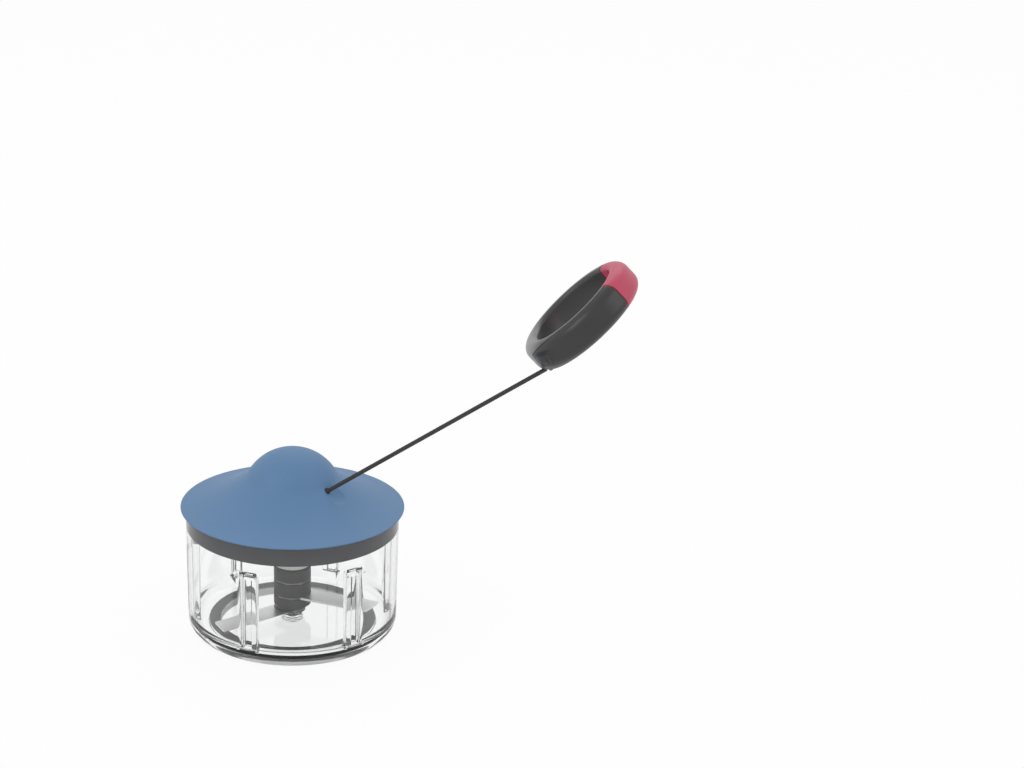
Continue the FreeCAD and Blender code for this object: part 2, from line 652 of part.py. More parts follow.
def make_screws():
    """Three identical screws, from the plate up into the cover's towers."""
    screw = turned("screw_pattern", [
        ("0", BASE_FOOT), ("screw_head", BASE_FOOT), ("screw_head", f"{BASE_FOOT} + screw_head_height"),
        ("screw_radius", f"{BASE_FOOT} + screw_head_height"),
        ("screw_radius", f"{BASE_TOP} + screw_length - screw_radius"), ("0", f"{BASE_TOP} + screw_length")])
    doc.recompute()
    copies = []
    for i in range(int(value("screw_count"))):
        azimuth = value("screw_azimuth") + 360 * i / value("screw_count")
        copy = screw.Shape.copy()
        copy.translate(polar(value(SCREW_CIRCLE), azimuth, 0))
        copies.append(copy)
    group = doc.addObject("Part::Feature", "lid_screws")
    group.Shape = Part.makeCompound(copies)
    return group


def make_eyelet():
    """The sleeve that the cord runs out through, flanged outside, in line with the drawn cord."""
    outer = "(eyelet_bore + eyelet_wall)"
    eyelet = turned("cord_eyelet", [
        ("eyelet_bore", "-eyelet_depth"), (outer, "-eyelet_depth"), (outer, "0"),
        ("eyelet_flange - eyelet_lift / 2", "0"), ("eyelet_flange", "eyelet_lift / 2"),
        ("eyelet_flange - eyelet_lift / 2", "eyelet_lift"), ("eyelet_bore", "eyelet_lift")],
        {3: ("eyelet_lift / 2", True), 4: ("eyelet_lift / 2", True)})
    eyelet.Placement = Placement(outlet, along_pull)
    return eyelet


# ---------------------------------------------------------------- drive inside the lid
def make_bush():
    """The bearing sleeve in the plate, which is also the arbor of the recoil spring."""
    return turned("spring_arbor", [
        (BUSH_INNER, BASE_FOOT), ("bush_radius", BASE_FOOT), ("bush_radius", f"{CUP_ROOF} - cover_gap"),
        (BUSH_INNER, f"{CUP_ROOF} - cover_gap")])


def make_shaft():
    """The drive shaft: a hexagon for the cutter, a sleeve, a journal and a hexagon for the reel."""
    shaft = turned("drive_shaft", [
        ("0", SLEEVE_FOOT), ("sleeve_radius - hub_chamfer", SLEEVE_FOOT),
        ("sleeve_radius", f"{SLEEVE_FOOT} + hub_chamfer"), ("sleeve_radius", SLEEVE_TOP),
        (JOURNAL, SLEEVE_TOP), (JOURNAL, CUP_ROOF), ("0", CUP_ROOF)])
    add_pad(shaft, "cutter_hexagon", hexagon("drive_flats"), f"{HUB_TOP} - drive_depth", SLEEVE_FOOT)
    add_pad(shaft, "reel_hexagon", hexagon("shaft_flats"), CUP_ROOF, DRUM_TOP)
    add_hole(shaft, "axle_hole", "(axle_radius + running_gap)", f"{AXLE_FOOT} - running_gap * 4", DRUM_TOP)
    return shaft


def make_reel():
    """The reel: a spring cup below, a drum for the cord above, and a hexagonal bore."""
    bore = "(axle_radius + running_gap)"
    reel = turned("reel", [
        (bore, CUP_ROOF), (CUP_INNER, CUP_ROOF), (CUP_INNER, CUP_FOOT), (CUP_RADIUS, CUP_FOOT),
        (CUP_RADIUS, DRUM_FOOT), ("drum_radius", DRUM_FOOT), ("drum_radius", DRUM_TOP),
        (DRUM_FLANGE, DRUM_TOP), (DRUM_FLANGE, f"{DRUM_TOP} + reel_flange"),
        (bore, f"{DRUM_TOP} + reel_flange")])
    add_pocket(reel, "shaft_socket", hexagon("shaft_flats"), CUP_ROOF, DRUM_TOP)
    return reel


def make_spring():
    """A flat spiral spring: half circles about two centres in turn, from the arbor outwards."""
    widening, thickness = value("spring_half_pitch"), value("spring_thickness")
    radius, low = value("bush_radius"), value(f"{CUP_FOOT} + (cup_depth - spring_height) / 2")
    inside, outside, centre, side = [], [], 0.0, 1
    for _ in range(int(value("spring_arc_count"))):
        for edges, reach in ((inside, radius), (outside, radius + thickness)):
            edges.append(Part.Arc(Vector(centre + side * reach, 0, low),
                                  Vector(centre, side * reach, low),
                                  Vector(centre - side * reach, 0, low)).toShape())
        # the next half circle starts where this one ended
        centre += side * widening
        radius += widening
        side = -side
    start = [edges[0].valueAt(edges[0].FirstParameter) for edges in (inside, outside)]
    stop = [edges[-1].valueAt(edges[-1].LastParameter) for edges in (inside, outside)]
    caps = [Part.LineSegment(*pair).toShape() for pair in (start, stop)]
    strip = Part.Face(Part.Wire(Part.__sortEdges__(inside + outside + caps)))
    spring = doc.addObject("Part::Feature", "recoil_spring")
    spring.Shape = strip.extrude(Vector(0, 0, value("spring_height")))
    return spring


def make_winding():
    """The last turn of cord on the drum."""
    winding = doc.addObject("Part::Torus", "cord_winding")
    winding.setExpression("Radius1", bound(WIND))
    winding.setExpression("Radius2", bound(CORD))
    winding.Placement.Base.z = value(WIND_HEIGHT)
    return winding


def straight_cord(name, start, stop):
    """A taut run of cord."""
    run = doc.addObject("Part::Cylinder", name)
    run.setExpression("Radius", bound(CORD))
    run.Height = (stop - start).Length
    run.Placement = Placement(start, Rotation(Vector(0, 0, 1), stop - start))
    return run


def make_cords():
    """The cord from the drum to the outlet, and the drawn cord from the outlet to the knot."""
    reach = math.hypot(inner_mouth.x, inner_mouth.y)
    turn_back = math.degrees(math.acos(value(WIND) / reach))
    mouth_azimuth = math.degrees(math.atan2(inner_mouth.y, inner_mouth.x))
    leave = polar(value(WIND), mouth_azimuth - turn_back, value(WIND_HEIGHT))
    lead = (inner_mouth - leave).normalize()
    straight_cord("cord_lead", leave + lead * value("lead_start"), inner_mouth - lead * value("end_gap"))
    straight_cord("cord", outlet - pull * value("cord_sink"),
                  knot - pull * value(TAIL_START))


make_lid_cover()
make_lid_base()
make_lid_seal()
make_screws()
make_eyelet()
make_bush()
make_shaft()
make_reel()
turned("spring_cover", [
    ("bush_radius + cover_gap", REEL_FOOT), (CUP_RADIUS, REEL_FOOT), (CUP_RADIUS, CUP_FOOT),
    ("bush_radius + cover_gap", CUP_FOOT)])
turned("axle_post", [
    ("0", AXLE_FOOT), ("axle_radius", AXLE_FOOT), ("axle_radius", AXLE_TOP), ("0", AXLE_TOP)])
make_spring()
make_winding()
make_cords()


# ---------------------------------------------------------------- ring handle
def ring_blank(label, proud):
    """The ring's rounded section turned about its own axis. proud is cut off outside and on both sides."""
    inner, outer = "(ring_outer - ring_wall)", f"(ring_outer - {proud})"
    half = f"(ring_height / 2 - {proud})"
    bend, hollow = f"(ring_round_outer - {proud})", f"(ring_round_inner - {proud})"
    return turned(label, [
        (f"{inner} + {hollow}", f"-{half}"), (f"{outer} - {bend}", f"-{half}"), (outer, f"-{half} + {bend}"),
        (outer, f"{half} - {bend}"), (f"{outer} - {bend}", half), (f"{inner} + {hollow}", half),
        (inner, f"{half} - {hollow}"), (inner, f"-{half} + {hollow}")],
        {1: (bend, True), 3: (bend, True), 5: (hollow, True), 7: (hollow, True)})


def sector(name, start, sweep):
    """A slice of a tall cylinder round the ring's axis."""
    slice_ = cylinder(name, "ring_outer * 2", "ring_height * 2")
    slice_.setExpression("Angle", bound(sweep))
    slice_.Placement = Placement(Vector(0, 0, -value("ring_height")), Rotation(Vector(0, 0, 1), value(start)))
    return slice_


def grip_zone(side, start, sweep):
    """Where a grip lies: the ring's outer half, below a sloping edge, over a sweep of the ring."""
    far = cylinder(f"outside_{side}_far", "ring_outer * 2", "ring_height")
    near = cylinder(f"outside_{side}_near", "(ring_outer - grip_depth)", "ring_height")
    outside = boolean("Cut", f"outside_{side}", far, [near])
    outside.Placement.Base.z = -value("ring_height / 2")
    below = doc.addObject("Part::Box", f"below_{side}")
    reach = value("ring_outer * 6")
    for edge in ("Length", "Width", "Height"):
        below.setExpression(edge, bound("ring_outer * 6"))
    tilt = Rotation(Vector(0, 1, 0), -value("grip_slope"))
    edge_start = Vector(-value("ring_outer"), 0, value("grip_start"))
    below.Placement = Placement(edge_start + tilt.multVec(Vector(-reach / 2, -reach / 2, -reach)), tilt)
    span = sector(f"sweep_{side}", start, sweep)
    return boolean("MultiCommon", f"grip_zone_{side}", outside, [below, span])


def cord_channels():
    """The knot's round pocket, the channels of the drawn and the stowed cord, and the tail's hole."""
    pocket = doc.addObject("Part::Sphere", "knot_pocket")
    pocket.setExpression("Radius", bound("knot_radius + knot_gap"))
    pocket.Placement.Base = knot_local
    ways = {
        "channel_drawn": (ring_turn.inverted().multVec(pull * -1), "ring_wall * 2"),
        "channel_stowed": (stowed_turn.inverted().multVec(pull * -1), "ring_wall * 2"),
        "tail_hole": (ring_turn.inverted().multVec(tail_way), f"{TAIL_START} + tail_length + end_gap"),
    }
    tools = [pocket]
    for name, (way, length) in ways.items():
        channel = cylinder(name, "channel_radius", length)
        channel.Placement = Placement(knot_local, Rotation(Vector(0, 0, 1), way))
        tools.append(channel)
    return tools


def make_handle():
    """The ring: an inner shell, a grip on each side and an accent segment opposite the cord."""
    bare = "(360 - accent_angle) / 2"
    sweep = f"({bare} - grip_gap_angle)"
    zones = [grip_zone("front", "180 + grip_gap_angle", sweep),
             grip_zone("back", f"180 - grip_gap_angle - {sweep}", sweep)]
    accent_sector = sector("accent_sweep", "-accent_angle / 2", "accent_angle")
    channels = cord_channels()
    shell = ring_blank("ring_section", "0")
    grips = [boolean("MultiCommon", f"grip_{side}_solid", shell, [zone])
             for side, zone in zip(("front", "back"), zones)]
    pieces = [
        boolean("Cut", "handle_core", ring_blank("core_section", "grip_proud"),
                zones + [accent_sector] + channels),
        boolean("Cut", "grip_front", grips[0], channels),
        boolean("Cut", "grip_back", grips[1], channels),
        boolean("MultiCommon", "handle_accent", shell, [accent_sector]),
    ]
    for piece in pieces:
        piece.Placement = Placement(ring_centre, ring_turn)


def make_knot():
    """The cord's knot, and its free end, which points up into the ring."""
    ball = doc.addObject("Part::Sphere", "cord_knot")
    ball.setExpression("Radius", bound("knot_radius"))
    ball.Placement.Base = knot
    tail = cylinder("cord_tail", CORD, "tail_length")
    tail.Placement = Placement(knot + tail_way * value(TAIL_START), Rotation(Vector(0, 0, 1), tail_way))


make_handle()
make_knot()

# ---------------------------------------------------------------- write every piece
NODES = [
    "bowl", "foot_ring", "spindle_pin",
    "thrust_washer", "hub_core", "blade_lower", "hub_waist", "hub_ring_lower", "blade_middle",
    "hub_ring_upper", "blade_upper", "hub_socket",
    "lid_cover", "lid_base", "lid_seal", "lid_screws", "cord_eyelet", "spring_arbor", "axle_post",
    "recoil_spring", "cord_lead", "cord",
    "drive_shaft", "reel", "spring_cover", "cord_winding",
    "cord_knot", "cord_tail", "handle_core", "grip_front", "grip_back", "handle_accent",
]

doc.recompute()
failed = [item.Label for item in doc.Objects if "Invalid" in item.State or "Error" in item.State]
if failed:
    raise RuntimeError("not rebuilt: " + ", ".join(failed))
os.makedirs("parts", exist_ok=True)
for label in NODES:
    shape = doc.getObjectsByLabel(label)[0].Shape
    if shape.isNull() or not shape.isValid() or not shape.Solids:
        raise RuntimeError(label + " has no sound solid")
    shape.exportStep(os.path.join("parts", label + ".step"))
    print(label, len(shape.Solids), "solid(s)", round(shape.Volume / 1000, 2), "cm3")
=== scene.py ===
# %% [markdown]
# # A pull-cord food chopper
# The object is a clear bowl with a three-blade cutter, a domed lid that hides a cord reel, and a ring
# handle at the end of the drawn cord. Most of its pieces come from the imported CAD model, the frame, which
# stays as it is. Eleven of them are made finer here, because a CAD model has no need of a braid, of moulded
# corners that bend light, or of soft lips between shells. Finishes, a camera and lamps come with them. The
# scene is in metres, and most lengths of moulded pieces are written in millimetres.
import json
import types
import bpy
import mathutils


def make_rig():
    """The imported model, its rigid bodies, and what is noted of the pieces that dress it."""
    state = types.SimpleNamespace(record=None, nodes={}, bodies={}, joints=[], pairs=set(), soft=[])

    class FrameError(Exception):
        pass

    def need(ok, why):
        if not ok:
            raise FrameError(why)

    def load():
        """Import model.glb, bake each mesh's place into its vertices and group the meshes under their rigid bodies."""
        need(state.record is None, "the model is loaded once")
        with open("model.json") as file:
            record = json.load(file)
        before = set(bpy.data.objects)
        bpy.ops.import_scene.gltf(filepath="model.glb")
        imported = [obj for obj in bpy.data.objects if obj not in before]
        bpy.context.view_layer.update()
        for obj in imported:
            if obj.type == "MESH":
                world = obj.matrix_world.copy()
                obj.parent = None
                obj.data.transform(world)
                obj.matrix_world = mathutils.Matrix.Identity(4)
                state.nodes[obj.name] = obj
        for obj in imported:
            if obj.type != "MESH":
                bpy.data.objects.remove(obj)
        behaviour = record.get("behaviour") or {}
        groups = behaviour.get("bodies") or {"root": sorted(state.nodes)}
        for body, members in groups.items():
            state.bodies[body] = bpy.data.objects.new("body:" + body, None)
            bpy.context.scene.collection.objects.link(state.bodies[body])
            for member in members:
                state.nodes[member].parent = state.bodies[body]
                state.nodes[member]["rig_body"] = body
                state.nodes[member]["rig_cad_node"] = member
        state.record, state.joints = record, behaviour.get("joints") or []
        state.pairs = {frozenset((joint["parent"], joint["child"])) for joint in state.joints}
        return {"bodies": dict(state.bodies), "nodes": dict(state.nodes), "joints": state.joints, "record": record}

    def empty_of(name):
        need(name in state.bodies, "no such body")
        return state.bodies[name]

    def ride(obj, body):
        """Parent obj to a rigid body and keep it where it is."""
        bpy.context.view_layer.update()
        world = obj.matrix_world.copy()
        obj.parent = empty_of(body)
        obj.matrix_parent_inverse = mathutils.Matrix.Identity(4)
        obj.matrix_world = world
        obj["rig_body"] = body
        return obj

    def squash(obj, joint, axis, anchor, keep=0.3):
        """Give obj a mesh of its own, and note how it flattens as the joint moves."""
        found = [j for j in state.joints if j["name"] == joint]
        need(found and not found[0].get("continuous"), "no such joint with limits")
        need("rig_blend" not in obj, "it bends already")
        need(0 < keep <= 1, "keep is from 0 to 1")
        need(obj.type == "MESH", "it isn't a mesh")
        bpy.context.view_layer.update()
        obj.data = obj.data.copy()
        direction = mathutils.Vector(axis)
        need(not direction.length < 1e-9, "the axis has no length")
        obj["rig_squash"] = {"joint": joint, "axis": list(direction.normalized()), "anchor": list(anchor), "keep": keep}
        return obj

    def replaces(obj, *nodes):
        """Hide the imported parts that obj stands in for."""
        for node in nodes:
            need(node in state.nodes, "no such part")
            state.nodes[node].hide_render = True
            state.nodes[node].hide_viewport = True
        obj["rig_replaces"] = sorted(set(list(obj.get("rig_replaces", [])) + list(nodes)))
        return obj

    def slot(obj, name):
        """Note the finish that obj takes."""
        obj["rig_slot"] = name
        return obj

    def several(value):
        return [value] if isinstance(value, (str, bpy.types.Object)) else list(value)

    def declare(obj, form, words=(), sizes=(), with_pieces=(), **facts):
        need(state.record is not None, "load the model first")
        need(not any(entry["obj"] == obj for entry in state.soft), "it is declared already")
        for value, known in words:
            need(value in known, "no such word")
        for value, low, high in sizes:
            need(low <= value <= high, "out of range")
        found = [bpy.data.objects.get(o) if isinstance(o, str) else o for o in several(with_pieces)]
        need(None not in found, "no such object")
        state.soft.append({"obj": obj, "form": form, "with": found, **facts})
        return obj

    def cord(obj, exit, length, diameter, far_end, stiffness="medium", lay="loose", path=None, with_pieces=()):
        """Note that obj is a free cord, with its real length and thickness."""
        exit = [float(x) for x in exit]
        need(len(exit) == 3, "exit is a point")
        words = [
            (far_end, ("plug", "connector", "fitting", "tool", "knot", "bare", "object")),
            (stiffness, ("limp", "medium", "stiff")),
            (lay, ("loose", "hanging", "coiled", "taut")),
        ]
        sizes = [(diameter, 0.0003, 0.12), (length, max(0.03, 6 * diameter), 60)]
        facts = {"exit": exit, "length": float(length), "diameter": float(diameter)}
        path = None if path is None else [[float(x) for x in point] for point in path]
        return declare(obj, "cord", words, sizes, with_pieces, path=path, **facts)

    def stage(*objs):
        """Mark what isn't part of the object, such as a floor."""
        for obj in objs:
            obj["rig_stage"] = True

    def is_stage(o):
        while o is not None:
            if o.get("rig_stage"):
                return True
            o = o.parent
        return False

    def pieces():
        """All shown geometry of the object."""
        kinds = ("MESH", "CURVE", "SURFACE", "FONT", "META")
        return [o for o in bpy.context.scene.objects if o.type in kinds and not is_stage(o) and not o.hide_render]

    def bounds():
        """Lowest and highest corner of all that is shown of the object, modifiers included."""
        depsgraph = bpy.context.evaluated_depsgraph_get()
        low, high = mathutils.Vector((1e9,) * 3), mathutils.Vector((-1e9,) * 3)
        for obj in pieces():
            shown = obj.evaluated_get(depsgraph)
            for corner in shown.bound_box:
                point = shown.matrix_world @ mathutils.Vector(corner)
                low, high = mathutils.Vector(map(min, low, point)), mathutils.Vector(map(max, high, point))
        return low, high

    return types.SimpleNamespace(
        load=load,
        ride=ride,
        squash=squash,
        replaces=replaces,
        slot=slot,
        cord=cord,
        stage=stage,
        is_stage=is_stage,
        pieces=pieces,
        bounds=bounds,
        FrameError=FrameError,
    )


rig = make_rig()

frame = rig.load()

import json
import math

import bmesh
import bpy
from mathutils import Matrix, Vector

cad_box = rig.bounds()
nodes = frame["nodes"]
joints = {joint["name"]: joint for joint in frame["joints"]}
MM = 0.001
print("frame:", len(nodes), "nodes,", len(joints), "joints")

# %% [markdown]
# ## Camera
# The object is seen from a little above and from far away, through a long lens, so that its upright lines
# stay nearly parallel. It stands low and left in the view, because its handle reaches to the upper right.
# Turning the camera aside would lean the bowl's axis, so the lens is shifted sideways instead.

# %% Camera
CAMERA_PLACE = Vector((0, -1.08779, 0.5215))
CAMERA_PITCH = 19.06
FOCAL_PIXELS = 2100
RENDER_WIDTH = 1024
AXIS_COLUMN = 292.4
SENSOR_MM = 36.0

camera_data = bpy.data.cameras.new("camera")
camera_data.sensor_width = SENSOR_MM
camera_data.lens = FOCAL_PIXELS / RENDER_WIDTH * SENSOR_MM
camera_data.shift_x = (RENDER_WIDTH / 2 - AXIS_COLUMN) / RENDER_WIDTH
camera = bpy.data.objects.new("camera", camera_data)
camera.location = CAMERA_PLACE
camera.rotation_euler = (math.radians(90 - CAMERA_PITCH), 0, 0)
bpy.context.scene.collection.objects.link(camera)
bpy.context.scene.camera = camera
print("camera: lens", round(camera_data.lens, 1), "mm, shift", round(camera_data.shift_x, 3))

# %% [markdown]
# ## Mesh helpers
# Nearly every piece here is made of rows of points joined by quads, so one helper turns such a grid into an
# object. A row can close on itself, as it does round a ring, and so can the stack of rows.

# %% Mesh helpers
def new_mesh(name, points, faces):
    """A smoothly shaded object from points and faces, with its normals turned outwards."""
    mesh = bpy.data.meshes.new(name)
    mesh.from_pydata(points, [], faces)
    work = bmesh.new()
    work.from_mesh(mesh)
    bmesh.ops.recalc_face_normals(work, faces=work.faces)
    work.to_mesh(mesh)
    work.free()
    mesh.polygons.foreach_set("use_smooth", [True] * len(mesh.polygons))
    piece = bpy.data.objects.new(name, mesh)
    bpy.context.scene.collection.objects.link(piece)
    return piece


def grid_faces(rows, columns, close_rows=False, close_columns=False, start=0):
    """Quads between neighbouring points of a grid stored row by row."""
    faces = []
    for row in range(rows if close_rows else rows - 1):
        for column in range(columns if close_columns else columns - 1):
            below, beside = (row + 1) % rows, (column + 1) % columns
            faces.append((start + row * columns + column, start + row * columns + beside,
                          start + below * columns + beside, start + below * columns + column))
    return faces


def apply_modifiers(piece):
    """Turn what a piece's modifiers give into its own mesh."""
    bpy.context.view_layer.update()
    made = bpy.data.meshes.new_from_object(piece.evaluated_get(bpy.context.evaluated_depsgraph_get()))
    piece.modifiers.clear()
    piece.data = made


def finish_with(piece, material, body, slot, *replaced):
    """Give a piece its material and body, and let it stand for CAD nodes."""
    piece.data.materials.clear()
    piece.data.materials.append(material)
    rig.ride(piece, body)
    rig.slot(piece, slot)
    if replaced:
        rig.replaces(piece, *replaced)
    print(piece.name, "has", len(piece.data.vertices), "points and rides on", body)


def paint(material, *names):
    """Give CAD nodes a material."""
    for name in names:
        nodes[name].data.materials.clear()
        nodes[name].data.materials.append(material)
    print(material.name, "on", ", ".join(names))


# %% [markdown]
# ## Material helpers
# Each finish starts from one shader. What is the same all over, such as how much a plastic bends light, is
# set on the shader itself. What varies, such as the grain of a mould, comes from noise in the object's own
# coordinates, so that it stays on the piece when it moves.

# %% Material helpers
def new_material(name, **values):
    """A material with one Principled shader, whose sockets are set by name."""
    material = bpy.data.materials.new(name)
    material.use_nodes = True
    shader = material.node_tree.nodes["Principled BSDF"]
    for socket, value in values.items():
        shader.inputs[socket.replace("_", " ")].default_value = value
    return material, shader


def add_node(material, kind, **settings):
    """A shader node with its settings and input values."""
    node = material.node_tree.nodes.new(kind)
    for key, value in settings.items():
        if key in node.inputs:
            node.inputs[key].default_value = value
        else:
            setattr(node, key, value)
    return node


def connect(material, *ends):
    """Join sockets: from, to, from, to."""
    for source, target in zip(ends[::2], ends[1::2]):
        material.node_tree.links.new(source, target)


def noise(material, size, stretch=(1, 1, 1), detail=3.0):
    """Noise whose grain has a size in metres, stretched along the object's axes."""
    place = add_node(material, "ShaderNodeTexCoord")
    scale = add_node(material, "ShaderNodeMapping")
    scale.inputs["Scale"].default_value = stretch
    grain = add_node(material, "ShaderNodeTexNoise", Scale=1 / size, Detail=detail)
    connect(material, place.outputs["Object"], scale.inputs["Vector"],
            scale.outputs["Vector"], grain.inputs["Vector"])
    return grain.outputs["Fac"]


def spread(material, source, low, high):
    """Turn a 0-to-1 value into a range."""
    remap = add_node(material, "ShaderNodeMapRange")
    remap.inputs["To Min"].default_value = low
    remap.inputs["To Max"].default_value = high
    connect(material, source, remap.inputs["Value"])
    return remap.outputs["Result"]


def colour_mix(material, factor):
    """A mix of two colours by a factor: both colour inputs and the result."""
    mix = add_node(material, "ShaderNodeMix", data_type="RGBA")
    connect(material, factor, mix.inputs["Factor"])
    first, second = (socket for socket in mix.inputs if socket.type == "RGBA")
    return first, second, next(socket for socket in mix.outputs if socket.type == "RGBA")


def blend_colour(material, factor, first_colour, second_colour):
    """A colour between two, by a factor."""
    first, second, result = colour_mix(material, factor)
    first.default_value = (*first_colour, 1)
    second.default_value = (*second_colour, 1)
    return result


def bump(material, shader, height, depth, strength=1.0):
    """Raise the surface by a height map whose full range is depth metres."""
    node = add_node(material, "ShaderNodeBump", Strength=strength, Distance=depth)
    connect(material, height, node.inputs["Height"], node.outputs["Normal"], shader.inputs["Normal"])


# %% [markdown]
# ## The cord
# The cord is a thin braid of dark polyester, pulled tight between the lid's outlet and the knot in the
# handle. Its route is a straight line, so three points are enough. A real braid is made here: carriers run
# round the cord both ways, and each passes over two of the others and under the next two. The piece
# flattens along the line of the pull as the handle comes in, so that it always ends at the knot.

# %% The cord's route
CORD_DIAMETER = 2.5 * MM
CORD_SINK = 5.0 * MM
KNOT_SINK = 2.6 * MM
OUTLET_RADIUS, OUTLET_AZIMUTH, OUTLET_HEIGHT = 27.3 * MM, math.radians(-44.0), 90.35 * MM
pull = Vector(joints["handle_pull"]["axis"]).normalized()
travel = -joints["handle_pull"]["range_m"][0]
knot = Vector(joints["handle_swing"]["pos_m"])
outlet = Vector((OUTLET_RADIUS * math.cos(OUTLET_AZIMUTH), OUTLET_RADIUS * math.sin(OUTLET_AZIMUTH),
                 OUTLET_HEIGHT))
cord_line = (knot - outlet).normalized()
cord_across = cord_line.orthogonal().normalized()
cord_upward = cord_line.cross(cord_across)

route_curve = bpy.data.curves.new("cord_route", "CURVE")
route_curve.dimensions = "3D"
route_points = [outlet - cord_line * CORD_SINK, (outlet + knot) / 2, knot - cord_line * KNOT_SINK]
spline = route_curve.splines.new("NURBS")
spline.points.add(len(route_points) - 1)
for control, point in zip(spline.points, route_points):
    control.co = (*point, 1)
spline.order_u = 3
spline.use_endpoint_u = True
route = bpy.data.objects.new("cord_route", route_curve)
bpy.context.scene.collection.objects.link(route)
route_mesh = bpy.data.meshes.new_from_object(route)
cord_path = [vertex.co.copy() for vertex in route_mesh.vertices]
bpy.data.objects.remove(route)
cord_length = sum((b - a).length for a, b in zip(cord_path, cord_path[1:]))
print("cord:", round(cord_length * 1000, 1), "mm long, outlet at", [round(x * 1000, 1) for x in outlet])

# %% The cord's braid
CARRIERS, CARRIER_SIDES = 8, 6
BRAID_PITCH, BRAID_STEP = 8.4 * MM, 0.28 * MM
CARRIER_WIDTH, CARRIER_THICKNESS = 0.64 * MM, 0.34 * MM
CARRIER_PATH = CORD_DIAMETER / 2 - CARRIER_THICKNESS / 2
WEAVE = CARRIER_THICKNESS * 0.42
BRAID_CORE, BRAID_CORE_SIDES, BRAID_CORE_PARTS = CARRIER_PATH - WEAVE * 1.6, 16, 40


def cord_place(run):
    """The point of the route at a run from its start, and the route's direction there."""
    for first, second in zip(cord_path, cord_path[1:]):
        stretch = (second - first).length
        if run <= stretch:
            break
        run -= stretch
    ahead = (second - first) / stretch
    return first + ahead * run, ahead


def tube_row(centre, across, upward, half_across, half_upward, sides):
    """A ring of points round a centre, as wide and as high as two half sizes."""
    turns = [2 * math.pi * side / sides for side in range(sides)]
    return [centre + across * (math.cos(turn) * half_across) + upward * (math.sin(turn) * half_upward)
            for turn in turns]


def add_tube(points, faces, rows):
    """Add rows of points as a closed tube with flat ends."""
    first, sides = len(points), len(rows[0])
    for row in rows:
        points += row
    faces += grid_faces(len(rows), sides, close_columns=True, start=first)
    faces.append(list(range(first, first + sides))[::-1])
    faces.append(list(range(len(points) - sides, len(points))))


def carrier_row(run, way, carrier):
    """The ring of points of one carrier at a run along the cord."""
    place, ahead = cord_place(run)
    upward = ahead.cross(cord_across)
    angle = way * (2 * math.pi * run / BRAID_PITCH) + 2 * math.pi * carrier / CARRIERS
    radius = CARRIER_PATH - WEAVE + WEAVE * way * math.sin(angle * CARRIERS / 2 + math.pi / 4)
    away = math.cos(angle) * cord_across + math.sin(angle) * upward
    around = (-math.sin(angle) * cord_across + math.cos(angle) * upward) * way
    along = (around * 2 * math.pi * radius / BRAID_PITCH + ahead).normalized()
    return tube_row(place + away * radius, along.cross(away), away,
                    CARRIER_WIDTH / 2, CARRIER_THICKNESS / 2, CARRIER_SIDES)


def make_braid():
    """Both sets of carriers round a solid core, along the cord's route."""
    points, faces = [], []
    steps = int(cord_length / BRAID_STEP)
    for way in (1, -1):
        for carrier in range(CARRIERS):
            add_tube(points, faces, [carrier_row(cord_length * step / steps, way, carrier)
                                     for step in range(steps + 1)])
    places = [cord_place(cord_length * part / BRAID_CORE_PARTS) for part in range(BRAID_CORE_PARTS + 1)]
    add_tube(points, faces, [tube_row(place, cord_across, ahead.cross(cord_across), BRAID_CORE, BRAID_CORE,
                                      BRAID_CORE_SIDES) for place, ahead in places])
    return new_mesh("cord_braid", points, faces)


cord_braid = make_braid()

# %% [markdown]
# The yarn is matt and nearly black, with a paler bloom where single filaments catch the light. A little
# sheen gives that bloom at grazing angles, and fine noise stands for the filaments.

# %% The cord's finish
YARN_DARK, YARN_PALE = (0.012, 0.0125, 0.0135), (0.04, 0.041, 0.044)
yarn, yarn_shader = new_material("braided_yarn", Roughness=0.62, Sheen_Weight=0.35, Sheen_Roughness=0.4)
filaments = noise(yarn, 0.25 * MM, detail=4.0)
connect(yarn, blend_colour(yarn, filaments, YARN_DARK, YARN_PALE), yarn_shader.inputs["Base Color"])
bump(yarn, yarn_shader, filaments, 0.05 * MM, 0.5)
finish_with(cord_braid, yarn, "lid", "cord", "cord")
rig.squash(cord_braid, "handle_pull", axis=pull, anchor=outlet, keep=1 - travel / (knot - outlet).dot(pull))
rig.cord(cord_braid, exit=outlet, length=cord_length, diameter=CORD_DIAMETER, far_end="object",
        stiffness="limp", lay="taut", path=cord_path)
paint(yarn, "cord_tail", "cord_lead", "cord_winding")

# %% [markdown]
# The cord ends in a knot that can't slip out of the handle. A trefoil is the simplest knot there is, and a
# formula gives its line: twice round the middle, while it winds over and under itself three times. The knot
# is drawn up in a pocket only twice as wide as the cord, so its strands thin and press into each other.
# The tube along the line therefore runs through itself, and a fine voxel skin merges it into one closed lump.

# %% The knot
KNOT_SIZE, KNOT_LIFT, KNOT_TUBE, KNOT_SKIN = 0.5 * MM, 2.0, 0.8 * MM, 0.07 * MM
KNOT_STEPS, KNOT_SIDES = 120, 16


def knot_line(turn):
    """A point of the trefoil's line and the line's direction there, at unit size."""
    reach, slope = 2 + math.cos(3 * turn), -3 * math.sin(3 * turn)
    point = Vector((reach * math.cos(2 * turn), reach * math.sin(2 * turn), KNOT_LIFT * math.sin(3 * turn)))
    ahead = Vector((slope * math.cos(2 * turn) - 2 * reach * math.sin(2 * turn),
                    slope * math.sin(2 * turn) + 2 * reach * math.cos(2 * turn),
                    3 * KNOT_LIFT * math.cos(3 * turn)))
    return point, ahead.normalized()


